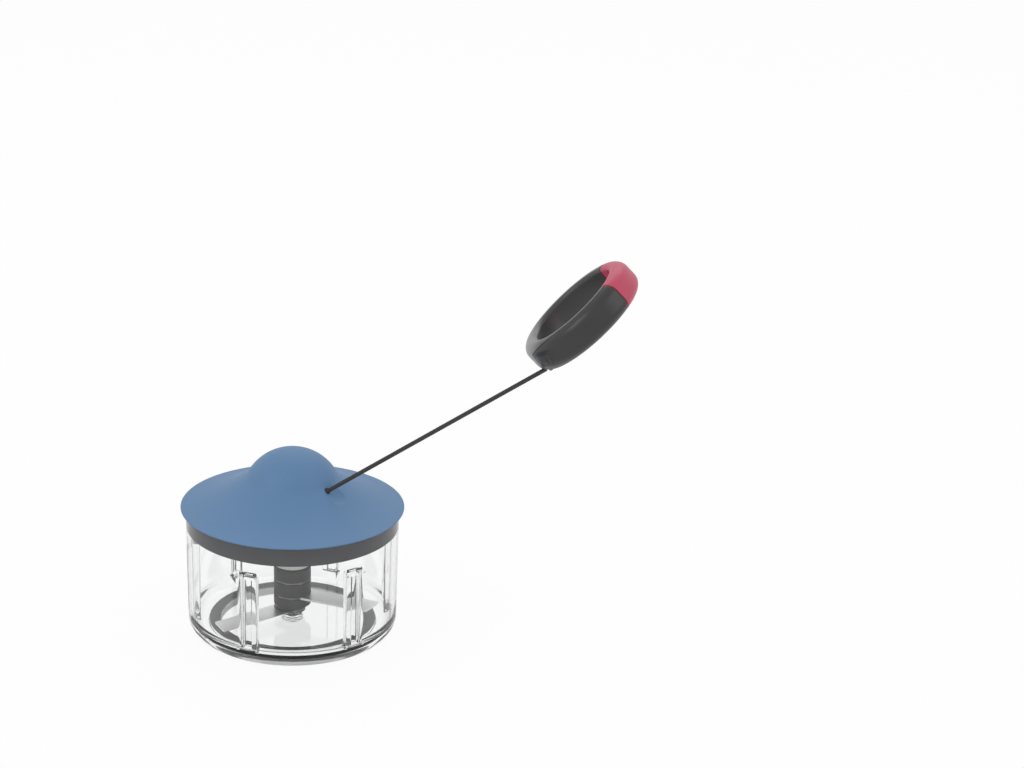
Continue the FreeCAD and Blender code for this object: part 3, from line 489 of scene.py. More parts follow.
def make_knot():
    """A tight trefoil of cord round the point where the handle hangs."""
    points = []
    for step in range(KNOT_STEPS):
        turn = 2 * math.pi * step / KNOT_STEPS
        point, ahead = knot_line(turn)
        out = Vector((math.cos(2 * turn), math.sin(2 * turn), 0))
        out = (out - ahead * out.dot(ahead)).normalized()
        for spot in tube_row(point * KNOT_SIZE, out, ahead.cross(out), KNOT_TUBE, KNOT_TUBE, KNOT_SIDES):
            points.append(knot + cord_across * spot.x + cord_upward * spot.y + cord_line * spot.z)
    piece = new_mesh("tight_knot", points, grid_faces(KNOT_STEPS, KNOT_SIDES, True, True))
    skin = piece.modifiers.new("skin", "REMESH")
    skin.mode, skin.voxel_size, skin.use_smooth_shade = "VOXEL", KNOT_SKIN, True
    apply_modifiers(piece)
    return piece


finish_with(make_knot(), yarn, "cord_end", "cord", "cord_knot")

# %% [markdown]
# ## The clear bowl
# The bowl is moulded in clear plastic about two millimetres thick. Six ribs stand in from its wall, each
# backed by a channel from outside, so that food can't just run round with the blades. A turned shape alone
# would give the wall but not the ribs. So the bowl is one grid of points: each row is a level of the turned
# profile, and each column is a direction. Where a rib stands, the columns leave the round and follow the
# rib's own section. Nearly every edge gets a small radius, because a mould has hardly any sharp ones and
# because clear plastic shows its edges by the light that they bend.

# %% Rounded profiles
QUARTER = math.pi / 2
CORNER_STEPS = 4
WELD_DISTANCE = 1e-6


def spaced(start, stop, count):
    """Evenly spaced numbers from start to stop."""
    return [start + (stop - start) * i / count for i in range(count + 1)]


def rounded(corners, radii):
    """A polyline whose corners are replaced by arcs. radii maps a corner's number to its radius."""
    path = []
    for number, corner in enumerate(corners):
        radius = radii.get(number)
        if not radius:
            path.append(corner)
            continue
        here, before, after = (Vector(corners[i]) for i in (number, number - 1, number + 1))
        back, ahead = (before - here).normalized(), (after - here).normalized()
        half = back.angle(ahead) / 2
        reach = radius / math.tan(half)
        centre = here + (back + ahead).normalized() * (radius / math.sin(half))
        start, stop = here + back * reach - centre, here + ahead * reach - centre
        sweep = start.angle_signed(stop)
        count = max(2, int(CORNER_STEPS * abs(sweep) / QUARTER) + 1)
        for step in range(count + 1):
            turned = start.copy()
            turned.rotate(Matrix.Rotation(-sweep * step / count, 2))
            path.append(tuple(centre + turned))
    return path


def arc_points(centre, radius, start, stop, steps):
    """Points on an arc, from one angle to another in degrees."""
    turns = [math.radians(degrees) for degrees in spaced(start, stop, steps)]
    return [(centre[0] + radius * math.cos(turn), centre[1] + radius * math.sin(turn)) for turn in turns]


def between(start, stop, steps):
    """Points evenly spread from start to stop, without the start."""
    return [tuple(a + (b - a) * i / steps for a, b in zip(start, stop)) for i in range(1, steps + 1)]


def subdivided(path, longest):
    """The same polyline with no stretch longer than a limit."""
    fine = [path[0]]
    for start, stop in zip(path, path[1:]):
        count = max(1, math.ceil(math.dist(start, stop) / longest))
        fine += between(start, stop, count)
    return fine


def lathe(name, profile, columns=256, closed=False):
    """Turn a profile of (radius, height) in millimetres about Z."""
    turns = [2 * math.pi * column / columns for column in range(columns)]
    points = [(r * MM * math.cos(turn), r * MM * math.sin(turn), z * MM)
              for r, z in profile for turn in turns]
    piece = new_mesh(name, points, grid_faces(len(profile), columns, closed, True))
    weld(piece)
    return piece


def weld(piece):
    """Join points that lie on each other, such as those of a row on the axis."""
    work = bmesh.new()
    work.from_mesh(piece.data)
    bmesh.ops.remove_doubles(work, verts=work.verts, dist=WELD_DISTANCE)
    bmesh.ops.recalc_face_normals(work, faces=work.faces)
    work.to_mesh(piece.data)
    work.free()


# %% The bowl's sizes
# Radii, heights and widths are in millimetres, and the azimuth is in degrees.
BOWL_MOUTH, BOWL_LOW, BOWL_TOP = 59.7, 58.9, 73.6
BOWL_WALL = 2.2
SKIRT_OUTER, SKIRT_INNER, SKIRT_FOOT = 50.0, 47.4, 0.6
CORNER, INNER_CORNER = 8.9, 6.4
FLOOR_UNDER, FLOOR = 5.2, 7.5
BOSS, BOSS_FOOT, BOSS_TOP = 5.4, 3.2, 10.1
SPINDLE, SPINDLE_FOOT = 2.5, 6.5
RIBS, RIB_AZIMUTH = 6, -54.5
RIB_NOSE, RIB_TOP, RIB_HALF = 52.1, 55.0, 4.5
RIB_END, RIB_ROUND, RIB_FOOT_ROUND = 1.3, 1.8, 1.0
GROOVE_BOTTOM, GROOVE_LOW, GROOVE_HIGH, GROOVE_HALF = 55.9, 11.7, 52.8, 2.3
GROOVE_END, GROOVE_ROUND, GROOVE_FOOT_ROUND = 0.9, 0.8, 0.6
print("bowl:", 2 * BOWL_MOUTH, "mm wide at the mouth,", RIBS, "ribs")


# %% A rib's section
RIB_SPAN = math.radians(7.1)
FLAT_STEPS, ROUND_STEPS, SIDE_STEPS, FOOT_STEPS, WALL_STEPS = 4, 6, 4, 4, 2
RIB_STEPS = FLAT_STEPS + ROUND_STEPS + SIDE_STEPS + FOOT_STEPS + WALL_STEPS
LEAST_DEPTH, FULL_DEPTH = 0.02, 0.6
NOSE_SHARE, FOOT_SHARE = 0.5, 0.3


def rib_half(wall, nose, half, nose_round, foot_round):
    """Half a section across a rib or channel, from its middle to the plain wall, as (across, outwards)."""
    plain = [(wall * math.sin(RIB_SPAN * i / RIB_STEPS), wall * math.cos(RIB_SPAN * i / RIB_STEPS))
             for i in range(RIB_STEPS + 1)]
    depth = wall - nose
    if depth < LEAST_DEPTH:
        return plain
    nose_round, foot_round = min(nose_round, NOSE_SHARE * depth), min(foot_round, FOOT_SHARE * depth)
    foot = (half + foot_round, math.sqrt((wall - foot_round) ** 2 - (half + foot_round) ** 2))
    foot_turn = math.degrees(math.atan2(foot[1], foot[0]))
    path = [(0, nose)] + between((0, nose), (half - nose_round, nose), FLAT_STEPS)
    path += arc_points((half - nose_round, nose + nose_round), nose_round, -90, 0, ROUND_STEPS)[1:]
    path += between(path[-1], (half, foot[1]), SIDE_STEPS)
    path += arc_points(foot, foot_round, 180, foot_turn, FOOT_STEPS)[1:]
    azimuth = math.atan2(*path[-1])
    path += [(wall * math.sin(a), wall * math.cos(a)) for a in spaced(azimuth, RIB_SPAN, WALL_STEPS)[1:]]
    share = min(1, depth / FULL_DEPTH)
    return [tuple(a + (b - a) * share for a, b in zip(*pair)) for pair in zip(plain, path)]


# %% The bowl's rows
PLAIN_STEPS = 32


def shoulder(height, low, high, radius):
    """1 inside a span of heights, 0 outside it, with quarter rounds at both ends."""
    inside = min(height - low, high - height)
    if inside <= 0:
        return 0.0
    return 1.0 if inside >= radius else math.sqrt(1 - (1 - inside / radius) ** 2)


def wall_radius(height):
    """The bowl's outer radius on its straight wall."""
    low = SKIRT_FOOT + CORNER
    return BOWL_LOW + (BOWL_MOUTH - BOWL_LOW) * max(0, height - low) / (BOWL_TOP - low)


def bowl_row(radius, height, inside):
    """One level of the bowl as points round it, with a rib or a channel at each sixth."""
    if inside:
        share, nose = shoulder(height, -FLOOR, RIB_TOP, RIB_END), RIB_NOSE
        section = (RIB_HALF, RIB_ROUND, RIB_FOOT_ROUND)
    else:
        share, nose = shoulder(height, GROOVE_LOW, GROOVE_HIGH, GROOVE_END), GROOVE_BOTTOM
        section = (GROOVE_HALF, GROOVE_ROUND, GROOVE_FOOT_ROUND)
    half = rib_half(radius, radius - max(0, radius - nose) * share, *section)
    row = []
    for rib in range(RIBS):
        middle = math.radians(RIB_AZIMUTH + 360 / RIBS * rib)
        for x, y in [(-x, y) for x, y in half[:0:-1]] + half:
            row.append((y * math.cos(middle) - x * math.sin(middle),
                        y * math.sin(middle) + x * math.cos(middle)))
        gap = 2 * math.pi / RIBS - 2 * RIB_SPAN
        for step in range(1, PLAIN_STEPS):
            azimuth = middle + RIB_SPAN + gap * step / PLAIN_STEPS
            row.append((radius * math.cos(azimuth), radius * math.sin(azimuth)))
    return [(x * MM, y * MM, height * MM) for x, y in row]


# %% The bowl's shape
LEVEL_STEP, END_STEPS, END_CLEAR = 3.0, 6, 0.2
PROFILE_STEP, CORNER_ARC, RIM_ARC = 3.0, 24, 6


def levels(low, high, ends, radius):
    """Heights up a wall, closer together where a rib or a channel ends."""
    near = [end - way * radius * (1 - math.cos(QUARTER * i / END_STEPS))
            for end, way in ends for i in range(END_STEPS + 1)]
    far = spaced(low, high, int((high - low) / LEVEL_STEP))[1:-1]
    far = [z for z in far if all(abs(z - end) > radius + END_CLEAR for end, way in ends)]
    return sorted(near + far)


def outer_profile(rim):
    """The outer face, from under the boss round the skirt and up to the top of the rim."""
    path = rounded(
        [(0, BOSS_FOOT), (BOSS, BOSS_FOOT), (BOSS, FLOOR_UNDER), (SKIRT_INNER, FLOOR_UNDER),
         (SKIRT_INNER, SKIRT_FOOT), (SKIRT_OUTER, SKIRT_FOOT)], {1: 0.5, 2: 0.4, 3: 0.5, 4: 0.5})
    path += arc_points((SKIRT_OUTER, SKIRT_FOOT + CORNER), CORNER, -90, 0, CORNER_ARC)[1:]
    ends = ((GROOVE_LOW, -1), (GROOVE_HIGH, 1))
    wall = [(wall_radius(z), z) for z in levels(SKIRT_FOOT + CORNER, rim[1], ends, GROOVE_END)]
    return subdivided(path, PROFILE_STEP) + wall + arc_points(rim, BOWL_WALL / 2, 0, 90, RIM_ARC)


def inner_profile(rim):
    """The inner face, from the top of the rim down to the middle of the floor."""
    corner_middle = (BOWL_LOW - BOWL_WALL - INNER_CORNER, FLOOR + INNER_CORNER)
    path = arc_points(rim, BOWL_WALL / 2, 90, 180, RIM_ARC)[1:]
    path += [(wall_radius(z) - BOWL_WALL, z)
             for z in levels(corner_middle[1], rim[1], ((RIB_TOP, 1),), RIB_END)[::-1]]
    path += arc_points(corner_middle, INNER_CORNER, 0, -90, CORNER_ARC)
    floor_path = rounded([(corner_middle[0], FLOOR), (BOSS, FLOOR), (BOSS, BOSS_TOP), (SPINDLE, BOSS_TOP),
                          (SPINDLE, SPINDLE_FOOT), (0, SPINDLE_FOOT)], {1: 0.6, 2: 0.6, 3: 0.2})
    return path + subdivided(floor_path, PROFILE_STEP)[1:]


def make_bowl():
    """Outer and inner faces share their columns and meet at the rim. Each closes on the axis."""
    rim = (BOWL_MOUTH - BOWL_WALL / 2, BOWL_TOP - BOWL_WALL / 2)
    rows = [bowl_row(*point, False) for point in outer_profile(rim)]
    rows += [bowl_row(*point, True) for point in inner_profile(rim)]
    piece = new_mesh("clear_bowl", [point for row in rows for point in row],
                     grid_faces(len(rows), len(rows[0]), close_columns=True))
    weld(piece)
    return piece


clear_bowl = make_bowl()

# %% [markdown]
# Clear styrene plastic bends light about as much as glass does. Lamps can't shine through a refracting
# solid in a path tracer unless the rays happen to hit them, so rays that look for a lamp meet a nearly
# transparent shader instead. That keeps the cutter inside about as bright as it is in a real bowl.

# %% The bowl's finish
def clear_material(name, tint, passing, **values):
    """Clear plastic that lets lamp rays through."""
    material, shader = new_material(name, Base_Color=(*tint, 1), Transmission_Weight=1.0, **values)
    path = add_node(material, "ShaderNodeLightPath")
    veil = add_node(material, "ShaderNodeBsdfTransparent", Color=(*passing, 1))
    mix = add_node(material, "ShaderNodeMixShader")
    output = material.node_tree.nodes["Material Output"]
    connect(material, path.outputs["Is Shadow Ray"], mix.inputs[0], shader.outputs[0], mix.inputs[1],
            veil.outputs[0], mix.inputs[2], mix.outputs[0], output.inputs["Surface"])
    return material


clear_plastic = clear_material("clear_styrene", (0.97, 0.975, 0.975), (0.9, 0.9, 0.9),
                               Roughness=0.015, IOR=1.5)
finish_with(clear_bowl, clear_plastic, "bowl", "clear_bowl", "bowl")

# %% [markdown]
# ## Moulded plastics
# The lid's cover is satin plastic in a greyed blue. Its base, which plugs the bowl, is grey, and comes from
# the frame as it is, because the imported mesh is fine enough. The bloom of a satin mould is a wide, weak
# highlight, so the roughness is middling and a very fine grain breaks it up. The handle is glossier, so its
# roughness is lower and its grain shallower.

# %% Plastic finishes
def moulded(name, colour, roughness, grain=0.35 * MM, depth=0.012 * MM, variation=0.04):
    """Moulded plastic with a faint grain."""
    material, shader = new_material(name, Roughness=roughness, IOR=1.49)
    texture = noise(material, grain)
    darker = tuple(c * (1 - variation) for c in colour)
    lighter = tuple(c * (1 + variation) for c in colour)
    connect(material, blend_colour(material, texture, darker, lighter), shader.inputs["Base Color"])
    bump(material, shader, texture, depth)
    return material


HUB_GREY = (0.026, 0.0265, 0.028)
lid_plastic = moulded("lid_plastic", (0.092, 0.198, 0.36), 0.55)
collar_plastic = moulded("collar_plastic", (0.082, 0.084, 0.09), 0.42)
hub_plastic = moulded("hub_plastic", HUB_GREY, 0.55, 0.5 * MM, 0.03 * MM, 0.12)
inner_white = moulded("inner_white", (0.72, 0.72, 0.7), 0.45)
handle_dark = moulded("handle_dark", (0.027, 0.027, 0.028), 0.3, depth=0.004 * MM)
handle_pink = moulded("handle_pink", (0.47, 0.05, 0.1), 0.4, depth=0.006 * MM)
paint(collar_plastic, "lid_base")
paint(hub_plastic, "hub_core", "hub_waist", "hub_ring_lower", "hub_ring_upper", "hub_socket")
paint(inner_white, "drive_shaft", "reel", "spring_cover", "spring_arbor", "thrust_washer")

# %% [markdown]
# The foot ring is moulded in two colours, and the handle's shell gets its painted highlight the same way. The
# place of a point along one direction then gives the share of the second colour. It is measured in the
# object's own coordinates, so the border stays where it is.

# %% A blend by place
def blend_by_place(material, colour, origin, direction, low, high):
    """Blend a material's colour into another one from one distance along a direction to a further one."""
    shader = material.node_tree.nodes["Principled BSDF"]
    grain = shader.inputs["Base Color"].links[0].from_socket
    place = add_node(material, "ShaderNodeTexCoord")
    along = add_node(material, "ShaderNodeVectorMath", operation="DOT_PRODUCT")
    along.inputs[1].default_value = direction
    share = add_node(material, "ShaderNodeMapRange", interpolation_type="SMOOTHSTEP")
    share.inputs["From Min"].default_value = origin.dot(direction) + low
    share.inputs["From Max"].default_value = origin.dot(direction) + high
    first, second, result = colour_mix(material, share.outputs["Result"])
    second.default_value = (*colour, 1)
    connect(material, place.outputs["Object"], along.inputs[0], along.outputs["Value"], share.inputs["Value"],
            grain, first, result, shader.inputs["Base Color"])


# %% [markdown]
# ## The ring handle
# The handle is four mouldings. A grey shell forms the ring's inside and its end at the cord. Two darker
# grips clip on outside it, and a raspberry segment closes the far side. One painted torus would have no
# seams, and seams are what make it look assembled. So each moulding is its own closed shell. All of them
# read their points from one section, by the distance along its outline. A shell's edge rounds down into the
# seam by a lip, and the inner shell steps down under the grips, so that the seam is a real groove.

# %% The ring's place and section
RING_CENTRE = Vector((0.1535, -0.0218, 0.1918))
RING_ALONG = Vector((0.705799, -0.084161, 0.703395))
RING_ACROSS = Vector((0.118404, 0.992966, 0))
RING_AXIS = RING_ALONG.cross(RING_ACROSS)
RING_OUTER, RING_WALL, RING_HEIGHT = 35.2, 8.8, 17.8
OUTER_ROUND, INNER_ROUND = 6.0, 2.4
RING_INNER = RING_OUTER - RING_WALL
FACE_HALF = RING_HEIGHT / 2 - OUTER_ROUND
CREST = RING_WALL - OUTER_ROUND - INNER_ROUND
OUTLINE_HALF = (FACE_HALF + OUTER_ROUND * QUARTER + CREST + INNER_ROUND * QUARTER
                + RING_HEIGHT / 2 - INNER_ROUND)
LIP_GROWTH, LIP_GROWTH_START, LIP_GROWTH_FULL = 1.5, 122.0, 172.0


def section_point(along):
    """Radius, height and outward direction of the section, by distance from the middle of its outer face."""
    way, rest = (1, along) if along >= 0 else (-1, -along)
    if rest <= FACE_HALF:
        return RING_OUTER, way * rest, 1.0, 0.0
    rest -= FACE_HALF
    if rest <= OUTER_ROUND * QUARTER:
        turn = rest / OUTER_ROUND
        return (RING_OUTER - OUTER_ROUND * (1 - math.cos(turn)),
                way * (FACE_HALF + OUTER_ROUND * math.sin(turn)), math.cos(turn), way * math.sin(turn))
    rest -= OUTER_ROUND * QUARTER
    if rest <= CREST:
        return RING_OUTER - OUTER_ROUND - rest, way * RING_HEIGHT / 2, 0.0, float(way)
    rest -= CREST
    if rest <= INNER_ROUND * QUARTER:
        turn = rest / INNER_ROUND
        return (RING_INNER + INNER_ROUND * (1 - math.sin(turn)),
                way * (RING_HEIGHT / 2 - INNER_ROUND * (1 - math.cos(turn))),
                -math.sin(turn), way * math.cos(turn))
    return RING_INNER, way * (RING_HEIGHT / 2 - INNER_ROUND - (rest - INNER_ROUND * QUARTER)), -1.0, 0.0


def from_accent(azimuth):
    """Degrees from the accent's middle, whichever way round is shorter."""
    return abs((azimuth + 180) % 360 - 180)


def ring_point(azimuth, along, depth=0.0):
    """A point of the ring, some depth under its surface. The lip is thicker at the cord's end."""
    if along > OUTLINE_HALF:
        along -= 2 * OUTLINE_HALF
    radius, height, out, up = section_point(along)
    grown = min(1, max(0, (from_accent(azimuth) - LIP_GROWTH_START) / (LIP_GROWTH_FULL - LIP_GROWTH_START)))
    inward = min(1, max(0, (RING_OUTER - OUTER_ROUND - radius) / (RING_WALL - OUTER_ROUND)))
    radius -= LIP_GROWTH * grown * grown * (3 - 2 * grown) * inward
    radius, height, turn = radius - depth * out, height - depth * up, math.radians(azimuth)
    return RING_CENTRE + (RING_ALONG * (radius * math.cos(turn)) + RING_ACROSS * (radius * math.sin(turn))
                          + RING_AXIS * height) * MM


# %% Lips and seams
LIP, LIP_STEPS = 0.55, 5
LIP_RUNS = [LIP * (1 - math.cos(QUARTER * i / LIP_STEPS)) for i in range(LIP_STEPS + 1)]
SEAM_GAP, GRIP_THICKNESS, CORE_STEP = 0.32, 1.6, 1.75
RUN_RADIUS = 31.0
DEGREES_PER_MM = 180 / (math.pi * RUN_RADIUS)
ACCENT_END, GRIP_END = 40.0, 150.0
SEAM_HIGH, SEAM_DROP, SEAM_FALL = 72.0, 51.4, 46.0


def seam(azimuth):
    """Where the grips' edge runs: distance from the middle of the outer face."""
    fall = max(0, 1 - max(0, GRIP_END - from_accent(azimuth)) / SEAM_FALL)
    return FACE_HALF + OUTER_ROUND * math.radians(SEAM_HIGH - SEAM_DROP * fall * fall)


def lip_depth(distance):
    """How far a lip's quarter round lies under the surface, by distance from its edge."""
    return 0.0 if distance >= LIP else LIP - math.sqrt(LIP ** 2 - (LIP - distance) ** 2)


def graded(length, steps):
    """Distances from 0 to a length, closer together on the lips at both ends."""
    return LIP_RUNS + spaced(LIP, length - LIP, steps)[1:-1] + [length - run for run in LIP_RUNS[::-1]]


def sharpened(piece, degrees=38):
    """Smooth shading that breaks at real edges."""
    piece.data.set_sharp_from_angle(angle=math.radians(degrees))
    return piece


# %% The grips and the accent
GRIP_COLUMNS, GRIP_ROWS = 110, 30
ACCENT_COLUMNS, ACCENT_SIDES = 60, 92


def make_grip(name, side):
    """A shell over one side of the ring, from the accent to near the cord's end."""
    length = (GRIP_END - ACCENT_END) / DEGREES_PER_MM - SEAM_GAP
    points, columns = [], graded(length, GRIP_COLUMNS)
    for run in columns:
        azimuth = side * (ACCENT_END + (SEAM_GAP / 2 + run) * DEGREES_PER_MM)
        edge = seam(azimuth) - SEAM_GAP / 2
        downs = graded(2 * edge, GRIP_ROWS)
        for down in downs:
            depth = max(lip_depth(min(run, length - run)), lip_depth(min(down, 2 * edge - down)))
            points.append(ring_point(azimuth, edge - down, depth))
        points += [ring_point(azimuth, edge - down, GRIP_THICKNESS) for down in downs[::-1]]
    loop = 2 * len(downs)
    faces = grid_faces(len(columns), loop, close_columns=True)
    for first in (0, (len(columns) - 1) * loop):
        faces += [(first + i, first + i + 1, first + loop - 2 - i, first + loop - 1 - i)
                  for i in range(len(downs) - 1)]
    return sharpened(new_mesh(name, points, faces))


def make_accent():
    """The segment that closes the ring at its far side."""
    length = 2 * ACCENT_END / DEGREES_PER_MM - SEAM_GAP
    points, columns = [], graded(length, ACCENT_COLUMNS)
    for run in columns:
        azimuth = -ACCENT_END + (SEAM_GAP / 2 + run) * DEGREES_PER_MM
        depth = lip_depth(min(run, length - run))
        points += [ring_point(azimuth, OUTLINE_HALF * (2 * side / ACCENT_SIDES - 1), depth)
                   for side in range(ACCENT_SIDES)]
    faces = grid_faces(len(columns), ACCENT_SIDES, close_columns=True)
    faces += [list(range(ACCENT_SIDES)), list(range(len(points) - ACCENT_SIDES, len(points)))]
    return sharpened(new_mesh("accent_segment", points, faces))


grip_shells = [make_grip("grip_shell_front", -1), make_grip("grip_shell_back", 1)]
accent_segment = make_accent()
finish_with(grip_shells[0], handle_dark, "handle", "handle_dark", "grip_front")
finish_with(grip_shells[1], handle_dark, "handle", "handle_dark", "grip_back")
finish_with(accent_segment, handle_pink, "handle", "handle_pink", "handle_accent")

# %% [markdown]
# The inner shell carries the others. Its visible part runs from one seam over the crest and the hollow to
# the other seam. Between the seams it steps down by the grips' thickness and a little air. The knot sits in a
# round pocket near its lower end. Two short channels lead there: one on the line of the drawn cord, and one
# on the cord's line when the handle is in. They cross the rows at an angle, so a Boolean cuts them last. The
# shell is dark grey plastic. A paler grey painted on its upper end at the cord, running out towards the
# sides, is a painted highlight, as if lit from the left.

# %% The inner shell
CORE_COLUMNS, CORE_END_COLUMNS, CORE_ROWS, UNDER_ROWS = 110, 30, 60, 20


def core_columns(start, stop):
    """Azimuths round the shell, each with whether it lies under the grips."""
    under = [start + run * DEGREES_PER_MM for run in LIP_RUNS]
    under += spaced(under[-1], stop, CORE_COLUMNS)[1:]
    beyond = [stop + run * DEGREES_PER_MM for run in LIP_RUNS]
    beyond += spaced(beyond[-1], 180, CORE_END_COLUMNS)[1:]
    half = [(azimuth, True) for azimuth in under] + [(azimuth, False) for azimuth in beyond]
    return half + [(360 - azimuth, stepped) for azimuth, stepped in half[-2::-1]]


def make_core():
    """One loop of points per azimuth: the visible part, then the part under the grips."""
    start = ACCENT_END + SEAM_GAP / 2 * DEGREES_PER_MM
    stop = GRIP_END + SEAM_GAP / 2 * DEGREES_PER_MM
    points, columns = [], core_columns(start, stop)
    for azimuth, stepped in columns:
        away = 180 - abs(azimuth - 180)
        edge = seam(azimuth) + SEAM_GAP / 2
        length = 2 * (OUTLINE_HALF - edge)
        end_lip = lip_depth((away - start) / DEGREES_PER_MM)
        past = 0.0 if stepped else (away - stop) / DEGREES_PER_MM
        for run in graded(length, CORE_ROWS):
            beside = min(run, length - run)
            points.append(ring_point(azimuth, edge + run, max(end_lip, lip_depth(math.hypot(beside, past)))))
        depth = CORE_STEP if stepped else lip_depth(past)
        points += [ring_point(azimuth, along, depth) for along in spaced(-edge, edge, UNDER_ROWS)]
    loop = len(points) // len(columns)
    faces = grid_faces(len(columns), loop, close_columns=True)
    faces += [list(range(loop)), list(range(len(points) - loop, len(points)))]
    return new_mesh("handle_shell", points, faces)


# %% Cutting and uniting
CUT_SIDES, BALL_RINGS = 40, 20


def combine(piece, operation, *others):
    """Cut other pieces out of a piece, or unite them with it, and delete them."""
    for other in others:
        step = piece.modifiers.new("step", "BOOLEAN")
        step.operation, step.solver, step.object = operation, "EXACT", other
        apply_modifiers(piece)
        bpy.data.objects.remove(other)
    return piece


def rod(start, stop, radius):
    """A closed rod between two points, for cutting."""
    points, faces, line = [], [], (stop - start).normalized()
    across = line.orthogonal().normalized()
    add_tube(points, faces, [tube_row(end, across, line.cross(across), radius, radius, CUT_SIDES)
                             for end in (start, stop)])
    return new_mesh("rod", points, faces)


def ball(centre, radius):
    """A closed ball, for cutting."""
    points, faces, rows = [], [], []
    for turn in spaced(0, math.pi, BALL_RINGS)[1:-1]:
        middle = centre + Vector((0, 0, -radius * math.cos(turn)))
        reach = radius * math.sin(turn)
        rows.append(tube_row(middle, Vector((1, 0, 0)), Vector((0, 1, 0)), reach, reach, CUT_SIDES))
    add_tube(points, faces, rows)
    return new_mesh("ball", points, faces)


# %% The knot's pocket and the cord's channels
POCKET_RADIUS, CHANNEL_RADIUS, CHANNEL_LENGTH = 2.5 * MM, 1.7 * MM, 14 * MM
STOW_SWING, STOW_TWIST = math.radians(-180), math.radians(-71.13855)
# Painted highlight: the shell's upper end at the cord is painted a paler grey, as if lit from the left.
PAINTED_HIGHLIGHT_GREY, PAINTED_HIGHLIGHT_START, PAINTED_HIGHLIGHT_FULL = (0.2, 0.2, 0.2), 21 * MM, 30 * MM
PAINTED_HIGHLIGHT_LINE = RING_AXIS * 0.55 - RING_ALONG * 0.83
swing_axis, turn_axis = (Vector(joints[name]["axis"]) for name in ("handle_swing", "handle_turn"))

stowed = Matrix.Rotation(STOW_SWING, 3, swing_axis) @ Matrix.Rotation(STOW_TWIST, 3, turn_axis)
stowed_cord = stowed.inverted() @ (outlet - (knot - pull * travel)).normalized()
handle_light = moulded("handle_light", (0.048, 0.048, 0.049), 0.3, depth=0.004 * MM)
blend_by_place(handle_light, PAINTED_HIGHLIGHT_GREY, RING_CENTRE, PAINTED_HIGHLIGHT_LINE, PAINTED_HIGHLIGHT_START, PAINTED_HIGHLIGHT_FULL)
handle_shell = combine(make_core(), "DIFFERENCE", ball(knot, POCKET_RADIUS),
                       rod(knot, knot - cord_line * CHANNEL_LENGTH, CHANNEL_RADIUS),
                       rod(knot, knot + stowed_cord * CHANNEL_LENGTH, CHANNEL_RADIUS))
sharpened(handle_shell)
finish_with(handle_shell, handle_light, "handle", "handle_light", "handle_core")

# %% [markdown]
# ## The lid's cover
# The cover is one moulding: a dome over the reel, and a brim that falls away in a hollow curve to a thin
# edge. A boss inside the dome takes the post that steadies the reel. The cord leaves through a small hole at
# the dome's foot, where the mould presses a shallow dish so that the cord can swing without rubbing. Turning
# a profile gives the dome, the brim and the boss. The turned points near the hole are then lowered into the
# dish, both outside and inside, and the hole is cut along the cord's line.

# %% The cover's profile
LID_RADIUS, LID_FOOT, LID_WALL, EDGE_ROUND = 62.5, 73.9, 2.2, 0.3
DOME_CENTRE, DOME_RADIUS = 78.7, 28.8
DOME_FOOT_IN, DOME_FOOT_OUT, DOME_INNER_FOOT = 25.35, 26.6, 22.9
BRIM_R, BRIM_Z, BRIM_RADIUS, BRIM_MIDDLE = 79.545, 159.914, 87.0, 40.0
COLLAR_INNER, COLLAR_CHAMFER, LID_INNER_FOOT = 54.99, 0.6, 23.9
DOME_STEPS, BRIM_STEPS, BRIM_EDGE_STEPS, INNER_BRIM_STEPS, INNER_DOME_STEPS = 36, 22, 28, 40, 24
AXLE, AXLE_BOSS, AXLE_BOSS_FOOT, AXLE_TOP = 2.0, 5.0, 92.5, 101.5


def dome_height(radius, ball_radius=DOME_RADIUS):
    """Height of the dome at a distance from the axis."""
    return DOME_CENTRE + math.sqrt(ball_radius ** 2 - radius ** 2)


def brim_height(radius, hollow=BRIM_RADIUS):
    """Height of the brim's hollow curve at a distance from the axis."""
    return BRIM_Z - math.sqrt(hollow ** 2 - (radius - BRIM_R) ** 2)


def lid_profile():
    """The cover's outline from the dome's top out to the edge and back inside to the boss."""
    reach = math.asin(DOME_FOOT_IN / DOME_RADIUS)
    path = [(DOME_RADIUS * math.sin(turn), DOME_CENTRE + DOME_RADIUS * math.cos(turn))
            for turn in spaced(0, reach, DOME_STEPS)]
    path += [(r, brim_height(r)) for r in spaced(DOME_FOOT_OUT, BRIM_MIDDLE, BRIM_STEPS)]
    path += [(r, brim_height(r)) for r in spaced(BRIM_MIDDLE, LID_RADIUS, BRIM_EDGE_STEPS)[1:]]
    edge = len(path)
    path += [(LID_RADIUS, LID_FOOT), (COLLAR_INNER, LID_FOOT)]
    path += [(r, brim_height(r, BRIM_RADIUS + LID_WALL))
             for r in spaced(COLLAR_INNER - COLLAR_CHAMFER, LID_INNER_FOOT, INNER_BRIM_STEPS)]
    path += [(r, dome_height(r, DOME_RADIUS - LID_WALL))
             for r in spaced(DOME_INNER_FOOT, AXLE_BOSS, INNER_DOME_STEPS)]
    path += [(AXLE_BOSS, AXLE_BOSS_FOOT), (AXLE, AXLE_BOSS_FOOT), (AXLE, AXLE_TOP), (0, AXLE_TOP)]
    return rounded(path, {edge - 1: EDGE_ROUND, edge: EDGE_ROUND})


# %% [markdown]
# Three towers stand under the brim for the screws that hold the grey base. They are turned one by one. Their
# tops follow the brim's hollow curve halfway into its wall, so nothing shows outside, and a Boolean unites
# them with the cover.

# %% The screw towers
TOWER, TOWER_CIRCLE, TOWER_FOOT, TOWER_HOLE, SCREW = 4.2, 47.0, 64.1, 73.1, 1.5
TOWER_AZIMUTHS, TOWER_COLUMNS = (30, 150, 270), 48


